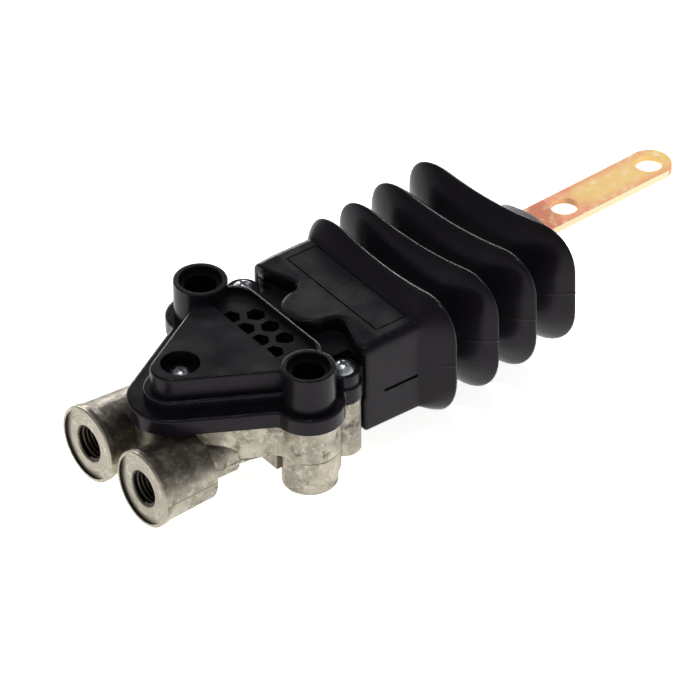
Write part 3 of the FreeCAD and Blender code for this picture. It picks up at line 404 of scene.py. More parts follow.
def collar_rows(columns, sizes):
    """Rows from the collar's open edge to the start of the folds."""
    outer, inner, into = front_edge(columns)
    down = inner - outer
    down /= np.linalg.norm(down, axis=1)[:, None]
    rim = sizes.rim_r / MM
    edge = outer + into * rim
    rows = [inner + into * EDGE, inner - down * EDGE, outer + down * rim,
            outer + (down + into) * (rim * ROUNDED), edge]
    flat = section(columns, *COLLAR)
    for share in np.linspace(0, 1, ROOF_ROWS + 1)[1:]:
        rows.append(edge * (1 - share) + at_x(ROOF_LINE_X, flat) * share)
    xs = [PANEL_START_X + step for step in GROOVE_STEPS] + [PANEL_END_X - step for step in GROOVE_STEPS]
    xs += [LATCH_START_X, LATCH_START_X + EDGE, *COLLAR_ROWS_X, LATCH_END_X - EDGE, LATCH_END_X]
    on_panel = (columns[:, 3] == 1) & (np.abs(flat[:, 0]) < PANEL_HALF - EDGE / 2)
    on_side = on_panel & (np.abs(flat[:, 0]) > PANEL_HALF - GROOVE + EDGE / 2)
    beside_latch = np.abs(flat[:, 1] - LATCH_Z) < LATCH_HALF_HEIGHT - EDGE / 2
    on_latch = (np.abs(columns[:, 2]) == 1) & beside_latch
    for x in sorted(xs):
        row = at_x(x, flat)
        inward = min(x - PANEL_START_X, PANEL_END_X - x)
        if inward > EDGE / 2:
            across = on_panel if inward < GROOVE - EDGE / 2 else on_side
            row[across, 2] -= sizes.groove_depth / MM
        if LATCH_START_X < x < LATCH_END_X:
            row[on_latch, 1] -= np.sign(row[on_latch, 1]) * LATCH_DEPTH
        rows.append(row)
    return rows


def neck_row(x, points):
    """A row of the small neck. Its end is rounded in plan, so its rows curve back at the sides."""
    share = max(x - NECK_ROOT_X, 0) / (NECK_END_X - NECK_ROOT_X)
    return np.column_stack([x - NECK_ROUND * share * (points[:, 0] / NECK_HALF) ** 2, points])


def neck_section(columns, x, grow):
    """Row of the small neck's outside at x. The neck gets thinner towards its open end."""
    share = (x - NECK_ROOT_X) / (NECK_END_X - NECK_ROOT_X)
    grow += NECK_FLARE * (1 - share)
    height = NECK_HALF_HEIGHT + grow
    radius = NECK_CORNER * height
    return neck_row(x, section(columns, NECK_HALF + grow, LEVER_MIDDLE_Z - height, LEVER_MIDDLE_Z + height,
                               radius, radius))


def neck_rows(columns, sizes):
    """Rows of the small neck, over its open end and back along the slot that grips the lever."""
    rim = sizes.rim_r / MM
    soft = rim * ROUNDED
    outside = [(x, 0) for x in (*NECK_ROWS_X, NECK_END_X - rim)]
    outside += [(NECK_END_X - soft, -soft), (NECK_END_X, -rim)]
    rows = [neck_section(columns, x, grow) for x, grow in outside]
    half, low, high, top_r, low_r = LEVER_SLOT
    rows.append(neck_row(NECK_END_X, section(columns, half + EDGE, low - EDGE, high + EDGE, top_r, low_r)))
    rows += [neck_row(x, section(columns, *LEVER_SLOT)) for x in SLOT_ROWS_X]
    return rows


def fold_stations(first, last):
    """Phases between two, with each one's place along the boot. They crowd at the ridges."""
    near = 0.5 * np.linspace(0, 1, FOLD_STEPS) ** RIDGE_CROWDING
    phases = [fold + side * step for fold in range(len(FOLD_X)) for side in (-1, 1) for step in near]
    phases = np.unique(np.round(phases, 5))
    phases = phases[(phases >= first) & (phases <= last)]
    return zip(phases, np.interp(phases, PHASES, [COLLAR_END_X, *FOLD_X, NECK_ROOT_X]))


def bellows_rows(columns, sizes, wall, first, last):
    """Rows of the plain tube under the folds, each with what a ridge adds to its points, and its phase."""
    radius = sizes.valley_r / MM - wall
    valley = section(columns, sizes.valley_half / MM - wall, sizes.valley_bottom / MM + wall,
                     sizes.valley_top / MM - wall, radius, radius)
    front = section(columns, *(COLLAR if wall == 0 else COLLAR_ROOM))
    back = neck_section(columns, NECK_ROOT_X, -wall / 2)[:, 1:]
    rows = []
    for phase, x in fold_stations(first, last):
        ridge = fold_section(columns, sizes, int(np.clip(round(phase), 0, len(FOLD_X) - 1)), wall)
        base = front if phase < 0 else back if phase > len(FOLD_X) - 1 else valley
        rows.append((at_x(x, base), at_x(0, ridge - base), phase))
    return rows


def boot_mesh(sizes):
    """The boot with its folds still flat, and the attributes that the fold tree reads."""
    columns = section_columns()
    flat = np.zeros((len(columns), 3))
    parts = [(row, flat, COLLAR_PHASE, FOLD_SPAN) for row in collar_rows(columns, sizes)]
    parts += [(*part, FOLD_SPAN) for part in bellows_rows(columns, sizes, 0, COLLAR_PHASE, NECK_PHASE)]
    parts += [(row, flat, NECK_PHASE, FOLD_SPAN) for row in neck_rows(columns, sizes)]
    inside = bellows_rows(columns, sizes, sizes.wall / MM, *ROOM_PHASES)
    parts += [(*part, ROOM_SPAN) for part in reversed(inside)]
    room = section(columns, *COLLAR_ROOM)
    parts += [(at_x(x, room), flat, COLLAR_PHASE, FOLD_SPAN) for x in ROOM_ROWS_X]
    rows, reaches, phases, spans = [np.array(values) for values in zip(*parts)]
    index = np.arange(len(parts) * len(columns)).reshape(len(parts), len(columns))
    below = np.roll(index, -1, axis=0)
    faces = np.stack([index, below, np.roll(below, -1, axis=1), np.roll(index, -1, axis=1)], axis=2)
    mesh = bpy.data.meshes.new("boot_moulding")
    mesh.from_pydata(rows.reshape(-1, 3) * MM, [], faces.reshape(-1, 4).tolist())
    slope = math.tan(math.radians(LEVER_YAW))
    yaws = np.radians(np.interp(phases, PHASES, [0, *FOLD_YAW, LEVER_YAW]))
    shifts = np.interp(phases, PHASES, [0, *FOLD_Y, (NECK_ROOT_X - PIVOT_X) * slope])
    on_neck = phases == NECK_PHASE
    shifts[on_neck] = (rows[on_neck, 0, 0] - PIVOT_X) * slope
    each = (phases, spans, yaws, shifts * MM, reaches * MM)
    for (name, kind), values in zip(FOLD_ATTRIBUTES.items(), each):
        if kind == "FLOAT":
            values = np.repeat(values, len(columns))
        data = mesh.attributes.new(name, kind, "POINT").data
        data.foreach_set("value" if kind == "FLOAT" else "vector", values.reshape(-1).astype(np.float32))
    return mesh


def fold_tree():
    """Geometry nodes that push the folds out of the flat tube and lean each one by its own angle."""
    tree, given = start_tree("Boot folds", {
        "Geometry": "Geometry", "Fullness": "Float", "Fillet": "Float", "Ridge rounding": "Float",
        "Fold height": "Float", "Lean": "Float", "Material": "Material"})
    phase, span, lean, shift, reach = [
        add_node(tree, "GeometryNodeInputNamedAttribute", {"Name": name}, data_type=kind)
        for name, kind in FOLD_ATTRIBUTES.items()]
    apart = add_node(tree, MATH, {0: phase, 1: 0.5}, operation="PINGPONG")
    other = add_node(tree, MATH, {0: apart, 1: -1.0}, **TIMES)
    rounded = add_node(tree, MATH, {0: apart, 1: other, 2: given["Ridge rounding"]}, operation="SMOOTH_MAX")
    down = add_node(tree, MATH, {0: rounded, 1: span}, operation="DIVIDE", use_clamp=True)
    drop = add_node(tree, MATH, {0: down, 1: given["Fullness"]}, operation="POWER")
    ridge = add_node(tree, MATH, {0: 1.0, 1: drop}, operation="SUBTRACT")
    square = add_node(tree, MATH, {0: ridge, 1: ridge}, **TIMES)
    eased = add_node(tree, MATH, {0: square, 1: given["Fillet"], 2: square}, operation="MULTIPLY_ADD")
    spread = add_node(tree, MATH, {0: ridge, 1: given["Fillet"]}, operation="ADD")
    filleted = add_node(tree, MATH, {0: eased, 1: spread}, operation="DIVIDE")
    height = add_node(tree, MATH, {0: filleted, 1: given["Fold height"]}, **TIMES)
    push = add_node(tree, "ShaderNodeVectorMath", {0: reach, "Scale": height}, operation="SCALE")
    folded = add_node(tree, "GeometryNodeSetPosition", {"Geometry": given["Geometry"], "Offset": push})
    place = add_node(tree, "GeometryNodeInputPosition")
    parts = add_node(tree, "ShaderNodeSeparateXYZ", {0: place})
    middle = add_node(tree, "ShaderNodeCombineXYZ", {"X": parts.outputs["X"]})
    angle = add_node(tree, MATH, {0: lean, 1: given["Lean"]}, **TIMES)
    turned = add_node(tree, "ShaderNodeVectorRotate", {
        "Vector": place, "Center": middle, "Angle": angle}, rotation_type="Z_AXIS")
    aside = add_node(tree, "ShaderNodeCombineXYZ", {"Y": shift})
    leaning = add_node(tree, "GeometryNodeSetPosition", {
        "Geometry": folded, "Position": turned, "Offset": aside})
    return end_tree(tree, leaning, given["Material"])


def grown(name, mesh, tree, values):
    """Object whose mesh is what the tree makes of the given mesh."""
    piece = bpy.data.objects.new(name, mesh)
    bpy.context.scene.collection.objects.link(piece)
    modifier = piece.modifiers.new(tree.name, "NODES")
    modifier.node_group = tree
    for item in tree.interface.items_tree:
        if item.in_out == "INPUT" and item.name in values:
            modifier[item.identifier] = values[item.name]
    bpy.context.view_layer.update()
    depsgraph = bpy.context.evaluated_depsgraph_get()
    final = bpy.data.meshes.new_from_object(piece.evaluated_get(depsgraph), depsgraph=depsgraph)
    final.name = name
    piece.modifiers.clear()
    piece.data = final
    for attribute in FOLD_ATTRIBUTES:
        if attribute in final.attributes:
            final.attributes.remove(final.attributes[attribute])
    return piece


def smooth(mesh):
    """Smooth shading, with a crease wherever two faces meet at a steep angle."""
    mesh.polygons.foreach_set("use_smooth", np.ones(len(mesh.polygons), bool))
    mesh.set_sharp_from_angle(angle=math.radians(CREASE_ANGLE))
    mesh.update()


def face_outwards(mesh):
    """Turn a closed mesh the right way out."""
    shell = bmesh.new()
    shell.from_mesh(mesh)
    if shell.calc_volume(signed=True) < 0:
        mesh.flip_normals()
    shell.free()


# Port threads and the spring in the supply port

def winding_tree():
    """Geometry nodes that wind a wire along X and put copies of it side by side."""
    tree, given = start_tree("Windings", {
        "Pitch": "Float", "Length": "Float", "Radius": "Float", "Wire radius": "Float", "Copies": "Int",
        "Spacing": "Float", "Steps per turn": "Int", "Start": "Vector", "Material": "Material"})
    turns = add_node(tree, MATH, {0: given["Length"], 1: given["Pitch"]}, operation="DIVIDE")
    spiral = add_node(tree, "GeometryNodeCurveSpiral", {
        "Resolution": given["Steps per turn"], "Rotations": turns, "Start Radius": given["Radius"],
        "End Radius": given["Radius"], "Height": given["Length"]})
    section = add_node(tree, "GeometryNodeCurvePrimitiveCircle", {
        "Resolution": WIRE_SIDES, "Radius": given["Wire radius"]})
    wire = add_node(tree, "GeometryNodeCurveToMesh", {
        "Curve": spiral, "Profile Curve": section, "Fill Caps": True})
    along_x = add_node(tree, "GeometryNodeTransform", {"Geometry": wire, "Rotation": (0, math.pi / 2, 0)})
    step = add_node(tree, "ShaderNodeCombineXYZ", {"Y": given["Spacing"]})
    places = add_node(tree, "GeometryNodeMeshLine", {
        "Count": given["Copies"], "Start Location": given["Start"], "Offset": step}, mode="OFFSET")
    copies = add_node(tree, "GeometryNodeInstanceOnPoints", {"Points": places, "Instance": along_x})
    return end_tree(tree, copies, given["Material"])


def wound(name, start_x, end_x, pitch, radius, wire, copies, material):
    """A wire wound round the supply port's axis from one x to another, with a copy for each further port."""
    sizes = bpy.context.scene.valve_ports
    piece = grown(name, bpy.data.meshes.new(name), winding_tree(), {
        "Pitch": pitch, "Length": (end_x - start_x) * MM, "Radius": radius * MM, "Wire radius": wire,
        "Copies": copies, "Spacing": 2 * PORT_HALF * MM, "Steps per turn": sizes.steps,
        "Start": (start_x * MM, -PORT_HALF * MM, PORT_AXIS_Z * MM), "Material": material})
    smooth(piece.data)
    return piece


# Finishes

def start_material(name, values):
    """A new material with its shader's plain values, and the output that gives the place on the object."""
    material = bpy.data.materials.new(name)
    material.use_nodes = True
    tree = material.node_tree
    shader = tree.nodes["Principled BSDF"]
    feed(tree, shader, values)
    return material, tree, shader, add_node(tree, "ShaderNodeTexCoord").outputs["Object"]


def add_noise(tree, place, size_mm, detail=2.0, roughness=0.5):
    """Add a cloudy texture whose largest features are of a size in millimetres."""
    return add_node(tree, NOISE, {
        "Vector": place, "Scale": 1 / (size_mm * MM), "Detail": detail, "Roughness": roughness})


def opaque(tone, share=1.0):
    """RGBA of a tone, lighter or darker by a share."""
    return [min(part * share, 1) for part in tone] + [1]


def moulded_polymer(name, tone, grain_mm, depth_mm, roughness, values):
    """Moulded polymer: one deep tone, uneven gloss in clouds 13 mm wide, and the mould's fine grain."""
    material, tree, shader, place = start_material(name, values)
    cloud = add_noise(tree, place, 13, 4.0, 0.6)
    tint = add_node(tree, MIX, {
        "Factor": cloud, "A": opaque(tone, 0.7), "B": opaque(tone, 1.35)}, **COLOURS)
    gloss = add_node(tree, RANGE, {
        "Value": cloud, **NOISE_RANGE, "To Min": roughness + 0.07, "To Max": roughness - 0.07})
    grain = add_noise(tree, place, grain_mm, 2.0, 0.7)
    bump = add_node(tree, "ShaderNodeBump", {"Height": grain, "Distance": depth_mm * MM})
    feed(tree, shader, {"Base Color": tint, "Roughness": gloss, "Normal": bump})
    return material


def glass_filled_nylon(tones):
    """Glass-filled nylon, moulded: deep black, half gloss, with the faint milky flow clouds of the glass.
    Its real grain is about 0.1 mm and is drawn at 0.8 mm, so that it shows."""
    return moulded_polymer("glass-filled nylon, moulded", tones.nylon, 0.8, 0.006, 0.24, {
        "IOR": 1.5, "Specular IOR Level": 0.24, "Specular Tint": opaque((1, 0.9, 1))})


def chloroprene_rubber(tones):
    """Chloroprene rubber, moulded: soft black with a broad dull shine of a faint violet cast.
    The grain of the blasted mould is about 0.15 mm and is drawn at 0.9 mm, so that it shows."""
    return moulded_polymer("chloroprene rubber, moulded", tones.rubber, 0.9, 0.008, 0.27, {
        "IOR": 1.5, "Specular IOR Level": 0.21, "Specular Tint": opaque((1, 0.9, 1))})


def nitrile_rubber(tones):
    """Nitrile rubber, moulded: plain black and nearly matt, as seals are."""
    return moulded_polymer("nitrile rubber, moulded", tones.seal, 0.5, 0.008, 0.6, {"IOR": 1.52})


def polyurethane_foam(tones):
    """Polyurethane foam, open cells of about 0.6 mm: dull grey, pitted all over."""
    return moulded_polymer("polyurethane foam, cut", tones.foam, 0.6, 0.35, 0.9, {"IOR": 1.5})


def die_cast_aluminium(tones):
    """Aluminium, die-cast and blasted: a dull beige skin with bright patches 12 mm wide, pale flecks that are
    painted glints, brown stains, painted shade that darkens the tops of the ports, the die's parting line and
    a sandy grain. The grit is about
    0.2 mm and is drawn at 0.8 mm, so that it shows. The port faces are turned bright, with painted shade low
    in their recess, and the bores are painted dark for the shade inside them."""
    material, tree, shader, place = start_material("aluminium, die-cast", {"Metallic": 0.95})
    broad = add_noise(tree, place, 12, 5.0, 0.62)
    stain = add_noise(tree, place, 5, 4.0, 0.7)
    grit = add_noise(tree, place, 0.8, 3.0, 0.75)
    fleck = add_noise(tree, place, 2.4, 3.0, 0.65)
    feed(tree, broad, {"Distortion": 0.6})
    axes = add_node(tree, "ShaderNodeSeparateXYZ", {0: place}).outputs
    dull_tone, dark_tone = opaque(tones.casting), opaque(tones.casting_dark)
    light_tone, glint_tone = opaque(tones.casting_light), opaque(tones.casting_light, 1.45)
    # The blasted skin with its patches, and pale flecks that are painted glints
    lit = add_node(tree, RANGE, {"Value": broad, "From Min": 0.42, "From Max": 0.62}, **SMOOTH)
    skin = add_node(tree, MIX, {"Factor": lit, "A": dull_tone, "B": light_tone}, **COLOURS)
    glint = add_node(tree, RANGE, {
        "Value": fleck, "From Min": 0.5, "From Max": 0.72, "To Max": 0.6}, **SMOOTH)
    glinted = add_node(tree, MIX, {"Factor": glint, "A": skin, "B": glint_tone}, **COLOURS)
    # Stains, painted shade on top of the ports, and the parting line at the height of their axis
    dull = add_node(tree, RANGE, {
        "Value": stain, "From Min": 0.52, "From Max": 0.7, "To Max": 0.75}, **SMOOTH)
    # Painted shade: the upper part of the ports, ahead of the cover, is darkened in patches
    high = add_node(tree, RANGE, {
        "Value": axes["Z"], "From Min": 11 * MM, "From Max": 25 * MM, "To Max": 0.85}, **SMOOTH)
    ahead = add_node(tree, RANGE, {
        "Value": axes["X"], "From Min": -36 * MM, "From Max": -26 * MM, **FALLING}, **SMOOTH)
    port_top_shade_mask = add_node(tree, MATH, {0: high, 1: ahead}, **TIMES)
    patchy = add_node(tree, RANGE, {
        "Value": fleck, "From Min": 0.4, "From Max": 0.6, "To Min": 1.0, "To Max": 0.7})
    patchy_port_top_shade = add_node(tree, MATH, {0: port_top_shade_mask, 1: patchy}, **TIMES)
    on_line = add_node(tree, MATH, {0: axes["Z"], 1: PORT_AXIS_Z * MM, 2: 0.2 * MM}, operation="COMPARE")
    broken = add_node(tree, RANGE, {
        "Value": broad, "From Min": 0.35, "From Max": 0.6, "To Min": 0.25, "To Max": 1.0})
    seam = add_node(tree, MATH, {0: on_line, 1: broken}, **TIMES)
    stains_and_painted_shade = add_node(tree, MATH, {0: dull, 1: patchy_port_top_shade}, operation="MAXIMUM")
    darker = add_node(tree, MATH, {0: stains_and_painted_shade, 1: seam}, operation="MAXIMUM")
    stained_and_shaded = add_node(tree, MIX, {"Factor": darker, "A": glinted, "B": dark_tone}, **COLOURS)
    # The turned port faces: rings 0.7 mm apart about each port's axis
    beside = add_node(tree, MATH, {0: axes["Y"]}, operation="ABSOLUTE")
    from_port = add_node(tree, "ShaderNodeCombineXYZ", {"X": beside, "Y": axes["Z"]})
    reach = add_node(tree, "ShaderNodeVectorMath", {
        0: from_port, 1: (PORT_HALF * MM, PORT_AXIS_Z * MM, 0)}, operation="DISTANCE")
    turning = add_node(tree, NOISE, {
        "W": reach, "Scale": 1 / (0.7 * MM), "Detail": 2.0}, noise_dimensions="1D")
    bright = add_node(tree, MIX, {"Factor": turning, "A": dull_tone, "B": light_tone}, **COLOURS)
    sparkling = add_node(tree, MIX, {"Factor": glint, "A": bright, "B": glint_tone}, **COLOURS)
    # Painted shade in the ring-shaped recess of a face, on its lower and outer side
    outer = add_node(tree, RANGE, {
        "Value": reach, "From Min": 9 * MM, "From Max": 11.6 * MM, "To Max": 0.95}, **SMOOTH)
    which_port = add_node(tree, MATH, {0: axes["Y"]}, operation="SIGN")
    past_axis = add_node(tree, MATH, {
        0: which_port, 1: -PORT_HALF * MM, 2: axes["Y"]}, operation="MULTIPLY_ADD")
    lean = add_node(tree, MATH, {0: past_axis, 1: axes["Z"]}, operation="SUBTRACT")
    low = add_node(tree, RANGE, {
        "Value": lean, "From Min": -(PORT_AXIS_Z + 1) * MM, "From Max": -(PORT_AXIS_Z - 9) * MM}, **SMOOTH)
    in_recess = add_node(tree, MATH, {0: reach, 1: 10.6 * MM, 2: 1.8 * MM}, operation="COMPARE")
    ring = add_node(tree, MATH, {0: outer, 1: in_recess}, **TIMES)
    recess_shade = add_node(tree, MATH, {0: ring, 1: low}, **TIMES)
    recess = add_node(tree, MIX, {
        "Factor": recess_shade, "A": sparkling, "B": opaque(tones.casting_dark, 0.7)}, **COLOURS)
    # Skin, faces and bores together
    face = add_node(tree, RANGE, {
        "Value": axes["X"], "From Min": (PORT_FACE_X + 0.8) * MM, "From Max": (PORT_FACE_X + 1.0) * MM,
        **FALLING})
    colouring = add_node(tree, MIX, {"Factor": face, "A": stained_and_shaded, "B": recess}, **COLOURS)
    # Painted shade: the bores are painted near black for the shade inside them
    inside = add_node(tree, RANGE, {
        "Value": reach, "From Min": (PORT_BORE_R + 0.1) * MM, "From Max": (PORT_BORE_R + 0.9) * MM,
        **FALLING}, **SMOOTH)
    bores_painted_dark = add_node(tree, MIX, {
        "Factor": inside, "A": colouring, "B": opaque(tones.casting_dark, 0.25)}, **COLOURS)
    gloss = add_node(tree, RANGE, {
        "Value": stain, "From Min": 0.35, "From Max": 0.7, "To Min": 0.32, "To Max": 0.55})
    relief = add_node(tree, MIX, {"Factor": face, "A": grit, "B": turning}, data_type="FLOAT")
    bump = add_node(tree, "ShaderNodeBump", {"Height": relief, "Distance": 0.05 * MM})
    feed(tree, shader, {"Base Color": bores_painted_dark, "Roughness": gloss, "Normal": bump})
    return material


def passivated_steel(tones):
    """Steel strip, zinc plated and yellow passivated: a straw-coloured film that turns pink and then brown
    near the boot and pink along the edges, with pale patches 5 mm wide and pale sides, over fine rolling
    lines along the strip. The real lines are about 0.1 mm apart and are drawn 0.6 mm apart, so that they
    show."""
    material, tree, shader, place = start_material("steel, yellow passivated", {"Metallic": 0.5})
    along = add_node(tree, "ShaderNodeMapping", {
        "Vector": place, "Location": (PIVOT_X * MM, 0, 0), "Rotation": (0, 0, math.radians(LEVER_YAW))},
        vector_type="TEXTURE")
    drift = add_noise(tree, along, 9, 4.0, 0.6)
    axes = add_node(tree, "ShaderNodeSeparateXYZ", {0: along}).outputs
    reach = add_node(tree, MATH, {0: drift, 1: 34 * MM, 2: axes["X"]}, operation="MULTIPLY_ADD")
    straw = add_node(tree, RANGE, {"Value": reach, "From Min": 132 * MM, "From Max": 156 * MM}, **SMOOTH)
    beside = add_node(tree, MATH, {0: axes["Y"]}, operation="ABSOLUTE")
    edge = add_node(tree, RANGE, {
        "Value": beside, "From Min": 3.0 * MM, "From Max": 7.5 * MM, "To Max": 0.55}, **SMOOTH)
    inner = add_node(tree, MATH, {0: straw, 1: edge}, operation="SUBTRACT", use_clamp=True)
    clear = add_node(tree, RANGE, {"Value": reach, "From Min": 136 * MM, "From Max": 147 * MM}, **SMOOTH)
    thick = add_node(tree, MIX, {
        "Factor": clear, "A": opaque(tones.passivation_brown), "B": opaque(tones.passivation_pink)},
        **COLOURS)
    film = add_node(tree, MIX, {"Factor": inner, "A": thick, "B": opaque(tones.passivation)}, **COLOURS)
    side = add_node(tree, RANGE, {"Value": beside, "From Min": 7.35 * MM, "From Max": 7.46 * MM})
    spot = add_noise(tree, along, 5, 3.0, 0.65)
    thin = add_node(tree, RANGE, {
        "Value": spot, "From Min": 0.48, "From Max": 0.75, "To Max": 0.8}, **SMOOTH)
    bare = add_node(tree, MATH, {0: thin, 1: side}, operation="MAXIMUM")
    paled = add_node(tree, MIX, {"Factor": bare, "A": film, "B": opaque(tones.passivation_pale)}, **COLOURS)
    rolled = add_node(tree, "ShaderNodeMapping", {"Vector": along, "Scale": (0.04, 1, 1)})
    lines = add_noise(tree, rolled, 0.6, 3.0, 0.6)
    gloss = add_node(tree, RANGE, {"Value": lines, **NOISE_RANGE, "To Min": 0.42, "To Max": 0.58})
    bump = add_node(tree, "ShaderNodeBump", {"Height": lines, "Distance": 0.012 * MM})
    feed(tree, shader, {"Base Color": paled, "Roughness": gloss, "Normal": bump})
    return material


def machined_metal(name, tone, axis, roughness, line_mm=0.5):
    """Bare or plated metal from the lathe: fine lines round its axis, and a surface that is dull in places.
    The real lines are about 0.1 mm apart and are drawn wider, so that they show."""
    material, tree, shader, place = start_material(name, {"Metallic": 1.0})
    stretch = [1.0 if part == axis else 0.06 for part in "XYZ"]
    run = add_node(tree, "ShaderNodeMapping", {"Vector": place, "Scale": stretch})
    lines = add_noise(tree, run, line_mm, 3.0, 0.6)
    cloud = add_noise(tree, place, 3, 4.0)
    tint = add_node(tree, MIX, {
        "Factor": cloud, "A": opaque(tone, 0.82), "B": opaque(tone, 1.1)}, **COLOURS)
    gloss = add_node(tree, RANGE, {
        "Value": cloud, **NOISE_RANGE, "To Min": roughness - 0.06, "To Max": roughness + 0.1})
    bump = add_node(tree, "ShaderNodeBump", {"Height": lines, "Distance": 0.01 * MM})
    feed(tree, shader, {"Base Color": tint, "Roughness": gloss, "Normal": bump})
    return material


def finish(material, *nodes):
    """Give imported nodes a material."""
    for name in nodes:
        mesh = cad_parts[name].data
        mesh.materials.clear()
        mesh.materials.append(material)


class ValveHousing(bpy.types.Operator):
    """Finish the die-cast housing"""
    bl_idname = "valve.housing"
    bl_label = "Housing"

    def execute(self, context):
        finish(die_cast_aluminium(context.scene.valve_finishes), "valve_housing")
        return {"FINISHED"}


class ValveCover(bpy.types.Operator):
    """Finish the nylon cover and the foam under its grille"""
    bl_idname = "valve.cover"
    bl_label = "Cover"

    def execute(self, context):
        tones = context.scene.valve_finishes
        finish(glass_filled_nylon(tones), "top_cover")
        finish(polyurethane_foam(tones), "exhaust_filter")
        return {"FINISHED"}


class ValveLever(bpy.types.Operator):
    """Finish the lever and the shaft that it turns"""
    bl_idname = "valve.lever"
    bl_label = "Lever"

    def execute(self, context):
        tones = context.scene.valve_finishes
        finish(passivated_steel(tones), "lever_arm")
        steel = machined_metal("steel, turned", tones.steel, "Z", 0.28)
        finish(steel, "pivot_shaft", "lever_rivets", "shaft_circlip", "yoke_pin")
        return {"FINISHED"}


class ValveSeals(bpy.types.Operator):
    """Finish the gasket and the seals"""
    bl_idname = "valve.seals"
    bl_label = "Seals"

    def execute(self, context):
        finish(nitrile_rubber(context.scene.valve_finishes), "cover_gasket", "spool_seals", "sleeve_seals",
               "check_valve_disc")
        return {"FINISHED"}


class ValveFittings(bpy.types.Operator):
    """Finish the screws, the bearings and the parts in the bores"""
    bl_idname = "valve.fittings"
    bl_label = "Screws and fittings"

    def execute(self, context):
        tones = context.scene.valve_finishes
        zinc = machined_metal("steel, bright zinc plated", tones.zinc, "Z", 0.34, 0.6)
        finish(zinc, "cover_screws", "bearing_plate", "bearing_plate_screws")
        bronze = machined_metal("bronze, sintered", tones.bronze, "Z", 0.4)
        finish(bronze, "lower_bush", "upper_bush", "thrust_washer")
        brass = machined_metal("brass, turned", tones.bronze, "X", 0.26)
        finish(brass, "spool_sleeve", "inlet_filter", "check_valve_seat", "delivery_restrictor")
        aluminium = machined_metal("aluminium, hard anodised", tones.anodised, "X", 0.36)
        finish(aluminium, "valve_spool", "spool_yoke")
        finish(machined_metal("spring steel, pressed", tones.steel, "X", 0.3), "sleeve_circlip")
        return {"FINISHED"}


class ValveBoot(bpy.types.Operator):
    """Make the rubber boot"""
    bl_idname = "valve.boot"
    bl_label = "Boot"

    def execute(self, context):
        sizes = context.scene.valve_boot
        rubber = chloroprene_rubber(context.scene.valve_finishes)
        boot = grown("boot_moulding", boot_mesh(sizes), fold_tree(), {
            "Fullness": sizes.fullness, "Fillet": sizes.fillet, "Ridge rounding": sizes.ridge,
            "Fold height": 1.0, "Lean": 1.0, "Material": rubber})
        face_outwards(boot.data)
        smooth(boot.data)
        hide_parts("lever_boot")
        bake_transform(boot)
        return {"FINISHED"}


class ValveThreads(bpy.types.Operator):
    """Make the threads of the two ports"""
    bl_idname = "valve.threads"
    bl_label = "Port threads"

    def execute(self, context):
        sizes = context.scene.valve_ports
        metal = machined_metal("aluminium, tapped", context.scene.valve_finishes.casting_dark, "X", 0.42)
        threads = wound("port_threads", THREAD_START_X, THREAD_END_X, sizes.pitch, PORT_BORE_R, sizes.crest,
                        2, metal)
        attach(threads, "valve_body")
        return {"FINISHED"}


class ValveSpring(bpy.types.Operator):
    """Wind the spring that holds the supply port's disc shut"""
    bl_idname = "valve.spring"
    bl_label = "Spring"

    def execute(self, context):
        metal = machined_metal("spring steel, drawn", context.scene.valve_finishes.steel, "X", 0.3)
        pitch = (SPRING_END_X - SPRING_START_X) * MM / SPRING_TURNS
        spring = wound("disc_spring", SPRING_START_X, SPRING_END_X, pitch, SPRING_R,
                       context.scene.valve_ports.wire, 1, metal)
        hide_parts("check_valve_spring")
        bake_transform(spring)
        return {"FINISHED"}


# Stage

def add_lamp(name, kind, place, target, power, **settings):
    """Put a lamp into the scene so that it shines on a point."""
    lamp = bpy.data.lights.new(name, kind)
    lamp.energy = power
    for key, value in settings.items():
        setattr(lamp, key, value)
    light = bpy.data.objects.new(name, lamp)
    bpy.context.scene.collection.objects.link(light)
    light.location = place
    light.rotation_euler = (Vector(target) - Vector(place)).to_track_quat("-Z", "Y").to_euler()


def photo_camera():
    """Camera at the photograph's place and angle."""
    azimuth, elevation, roll = [math.radians(a) for a in (CAMERA_AZIMUTH, CAMERA_ELEVATION, CAMERA_ROLL)]
    flat = math.cos(elevation)
    forward = Vector((flat * math.cos(azimuth), flat * math.sin(azimuth), -math.sin(elevation)))
    level = Vector((math.sin(azimuth), -math.cos(azimuth), 0))
    upright = level.cross(forward)
    right = level * math.cos(roll) + upright * math.sin(roll)
    up = upright * math.cos(roll) - level * math.sin(roll)
    data = bpy.data.cameras.new("photo camera")
    data.lens = CAMERA_LENS
    data.sensor_width = CAMERA_SENSOR
    data.clip_start = 0.1
    data.clip_end = 50
    camera = bpy.data.objects.new("photo camera", data)
    bpy.context.scene.collection.objects.link(camera)
    place = (Vector(CAMERA_TARGET) - forward * CAMERA_DISTANCE) * MM
    camera.matrix_world = Matrix.Translation(place) @ Matrix((right, up, -forward)).transposed().to_4x4()
    bpy.context.scene.camera = camera


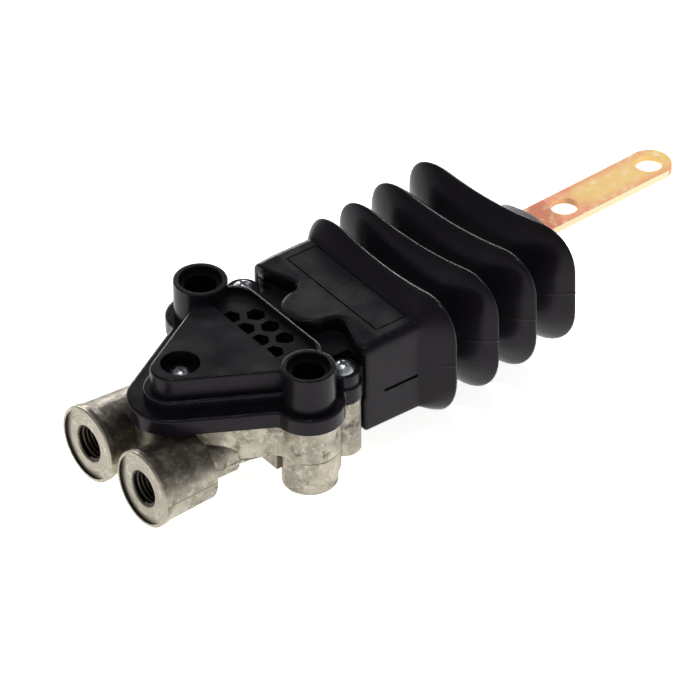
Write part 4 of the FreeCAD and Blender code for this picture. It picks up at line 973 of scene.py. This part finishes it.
class ValveStage(bpy.types.Operator):
    """Lay the floor, and set the lights and the camera"""
    bl_idname = "valve.stage"
    bl_label = "Stage"

    def execute(self, context):
        settings = context.scene.valve_stage
        mesh = bpy.data.meshes.new("floor")
        corners = ((-1, -1), (1, -1), (1, 1), (-1, 1))
        mesh.from_pydata([(x * FLOOR_HALF, y * FLOOR_HALF, FLOOR_Z) for x, y in corners], [], [(0, 1, 2, 3)])
        floor = bpy.data.objects.new("floor", mesh)
        context.scene.collection.objects.link(floor)
        material, tree, shader, place = start_material("paper, matt white", {
            "Base Color": opaque(settings.floor), "Roughness": 0.9, "Specular IOR Level": 0.1,
            "Emission Color": opaque(settings.floor), "Emission Strength": settings.glow})
        fibre = add_noise(tree, place, 1.2)
        bump = add_node(tree, "ShaderNodeBump", {"Height": fibre, "Distance": 0.01 * MM})
        feed(tree, shader, {"Normal": bump})
        mesh.materials.append(material)
        add_lamp("strip light", "AREA", (1.415, 1.927, 0.731), [part * MM for part in CAMERA_TARGET],
                 settings.strip_power, shape="RECTANGLE", size=2.2, size_y=0.25)
        spot = {"spot_blend": 0.6, "shadow_soft_size": 0.12}
        add_lamp("lever light", "SPOT", (0.15, -0.02, 1.5), (0.15, 0.01, 0.03), settings.lever_power,
                 spot_size=math.radians(5.0), **spot)
        add_lamp("cover light", "SPOT", (-0.03, 0.02, 1.5), (-0.015, 0, 0.04), settings.cover_power,
                 spot_size=math.radians(4.4), **spot)
        world = bpy.data.worlds.new("studio")
        world.use_nodes = True
        tree = world.node_tree
        way = add_node(tree, "ShaderNodeTexCoord").outputs["Generated"]
        axes = add_node(tree, "ShaderNodeSeparateXYZ", {0: way})
        fade = add_node(tree, RANGE, {
            "Value": axes.outputs["Z"], "From Min": 0.2, "From Max": 0.55, "To Min": settings.sky,
            "To Max": settings.ceiling}, **SMOOTH)
        feed(tree, tree.nodes["Background"], {"Color": (1, 1, 1, 1), "Strength": fade})
        context.scene.world = world
        context.scene.view_settings.view_transform = "Standard"
        photo_camera()
        return {"FINISHED"}


class ValvePanel(bpy.types.Panel):
    """Sizes, finishes and steps of the valve"""
    bl_idname = "VIEW3D_PT_valve"
    bl_label = "Cab suspension valve"
    bl_space_type = "VIEW_3D"
    bl_region_type = "UI"
    bl_category = "Valve"

    def draw(self, context):
        scene = context.scene
        for title, group in (("Boot", scene.valve_boot), ("Ports", scene.valve_ports),
                             ("Finishes", scene.valve_finishes), ("Studio", scene.valve_stage)):
            box = self.layout.box()
            box.label(text=title)
            for name in group.__annotations__:
                box.prop(group, name)
        for step in STEPS:
            self.layout.operator(step.bl_idname)


STEPS = (ValveHousing, ValveCover, ValveLever, ValveSeals, ValveFittings, ValveThreads, ValveSpring,
         ValveBoot, ValveStage)
SETTINGS = {"valve_boot": BootSizes, "valve_ports": PortSizes, "valve_finishes": Finishes,
            "valve_stage": StageSettings}
CLASSES = (*SETTINGS.values(), *STEPS, ValvePanel)


def register():
    for each in CLASSES:
        bpy.utils.register_class(each)
    for name, group in SETTINGS.items():
        setattr(bpy.types.Scene, name, PointerProperty(type=group))


def unregister():
    for name in SETTINGS:
        delattr(bpy.types.Scene, name)
    for each in reversed(CLASSES):
        bpy.utils.unregister_class(each)


def main():
    """Dress the valve."""
    register()
    bpy.ops.valve.housing()
    bpy.ops.valve.cover()
    bpy.ops.valve.lever()
    bpy.ops.valve.seals()
    bpy.ops.valve.fittings()
    bpy.ops.valve.threads()
    bpy.ops.valve.spring()
    bpy.ops.valve.boot()
    bpy.ops.valve.stage()


if __name__ == "__main__":
    main()
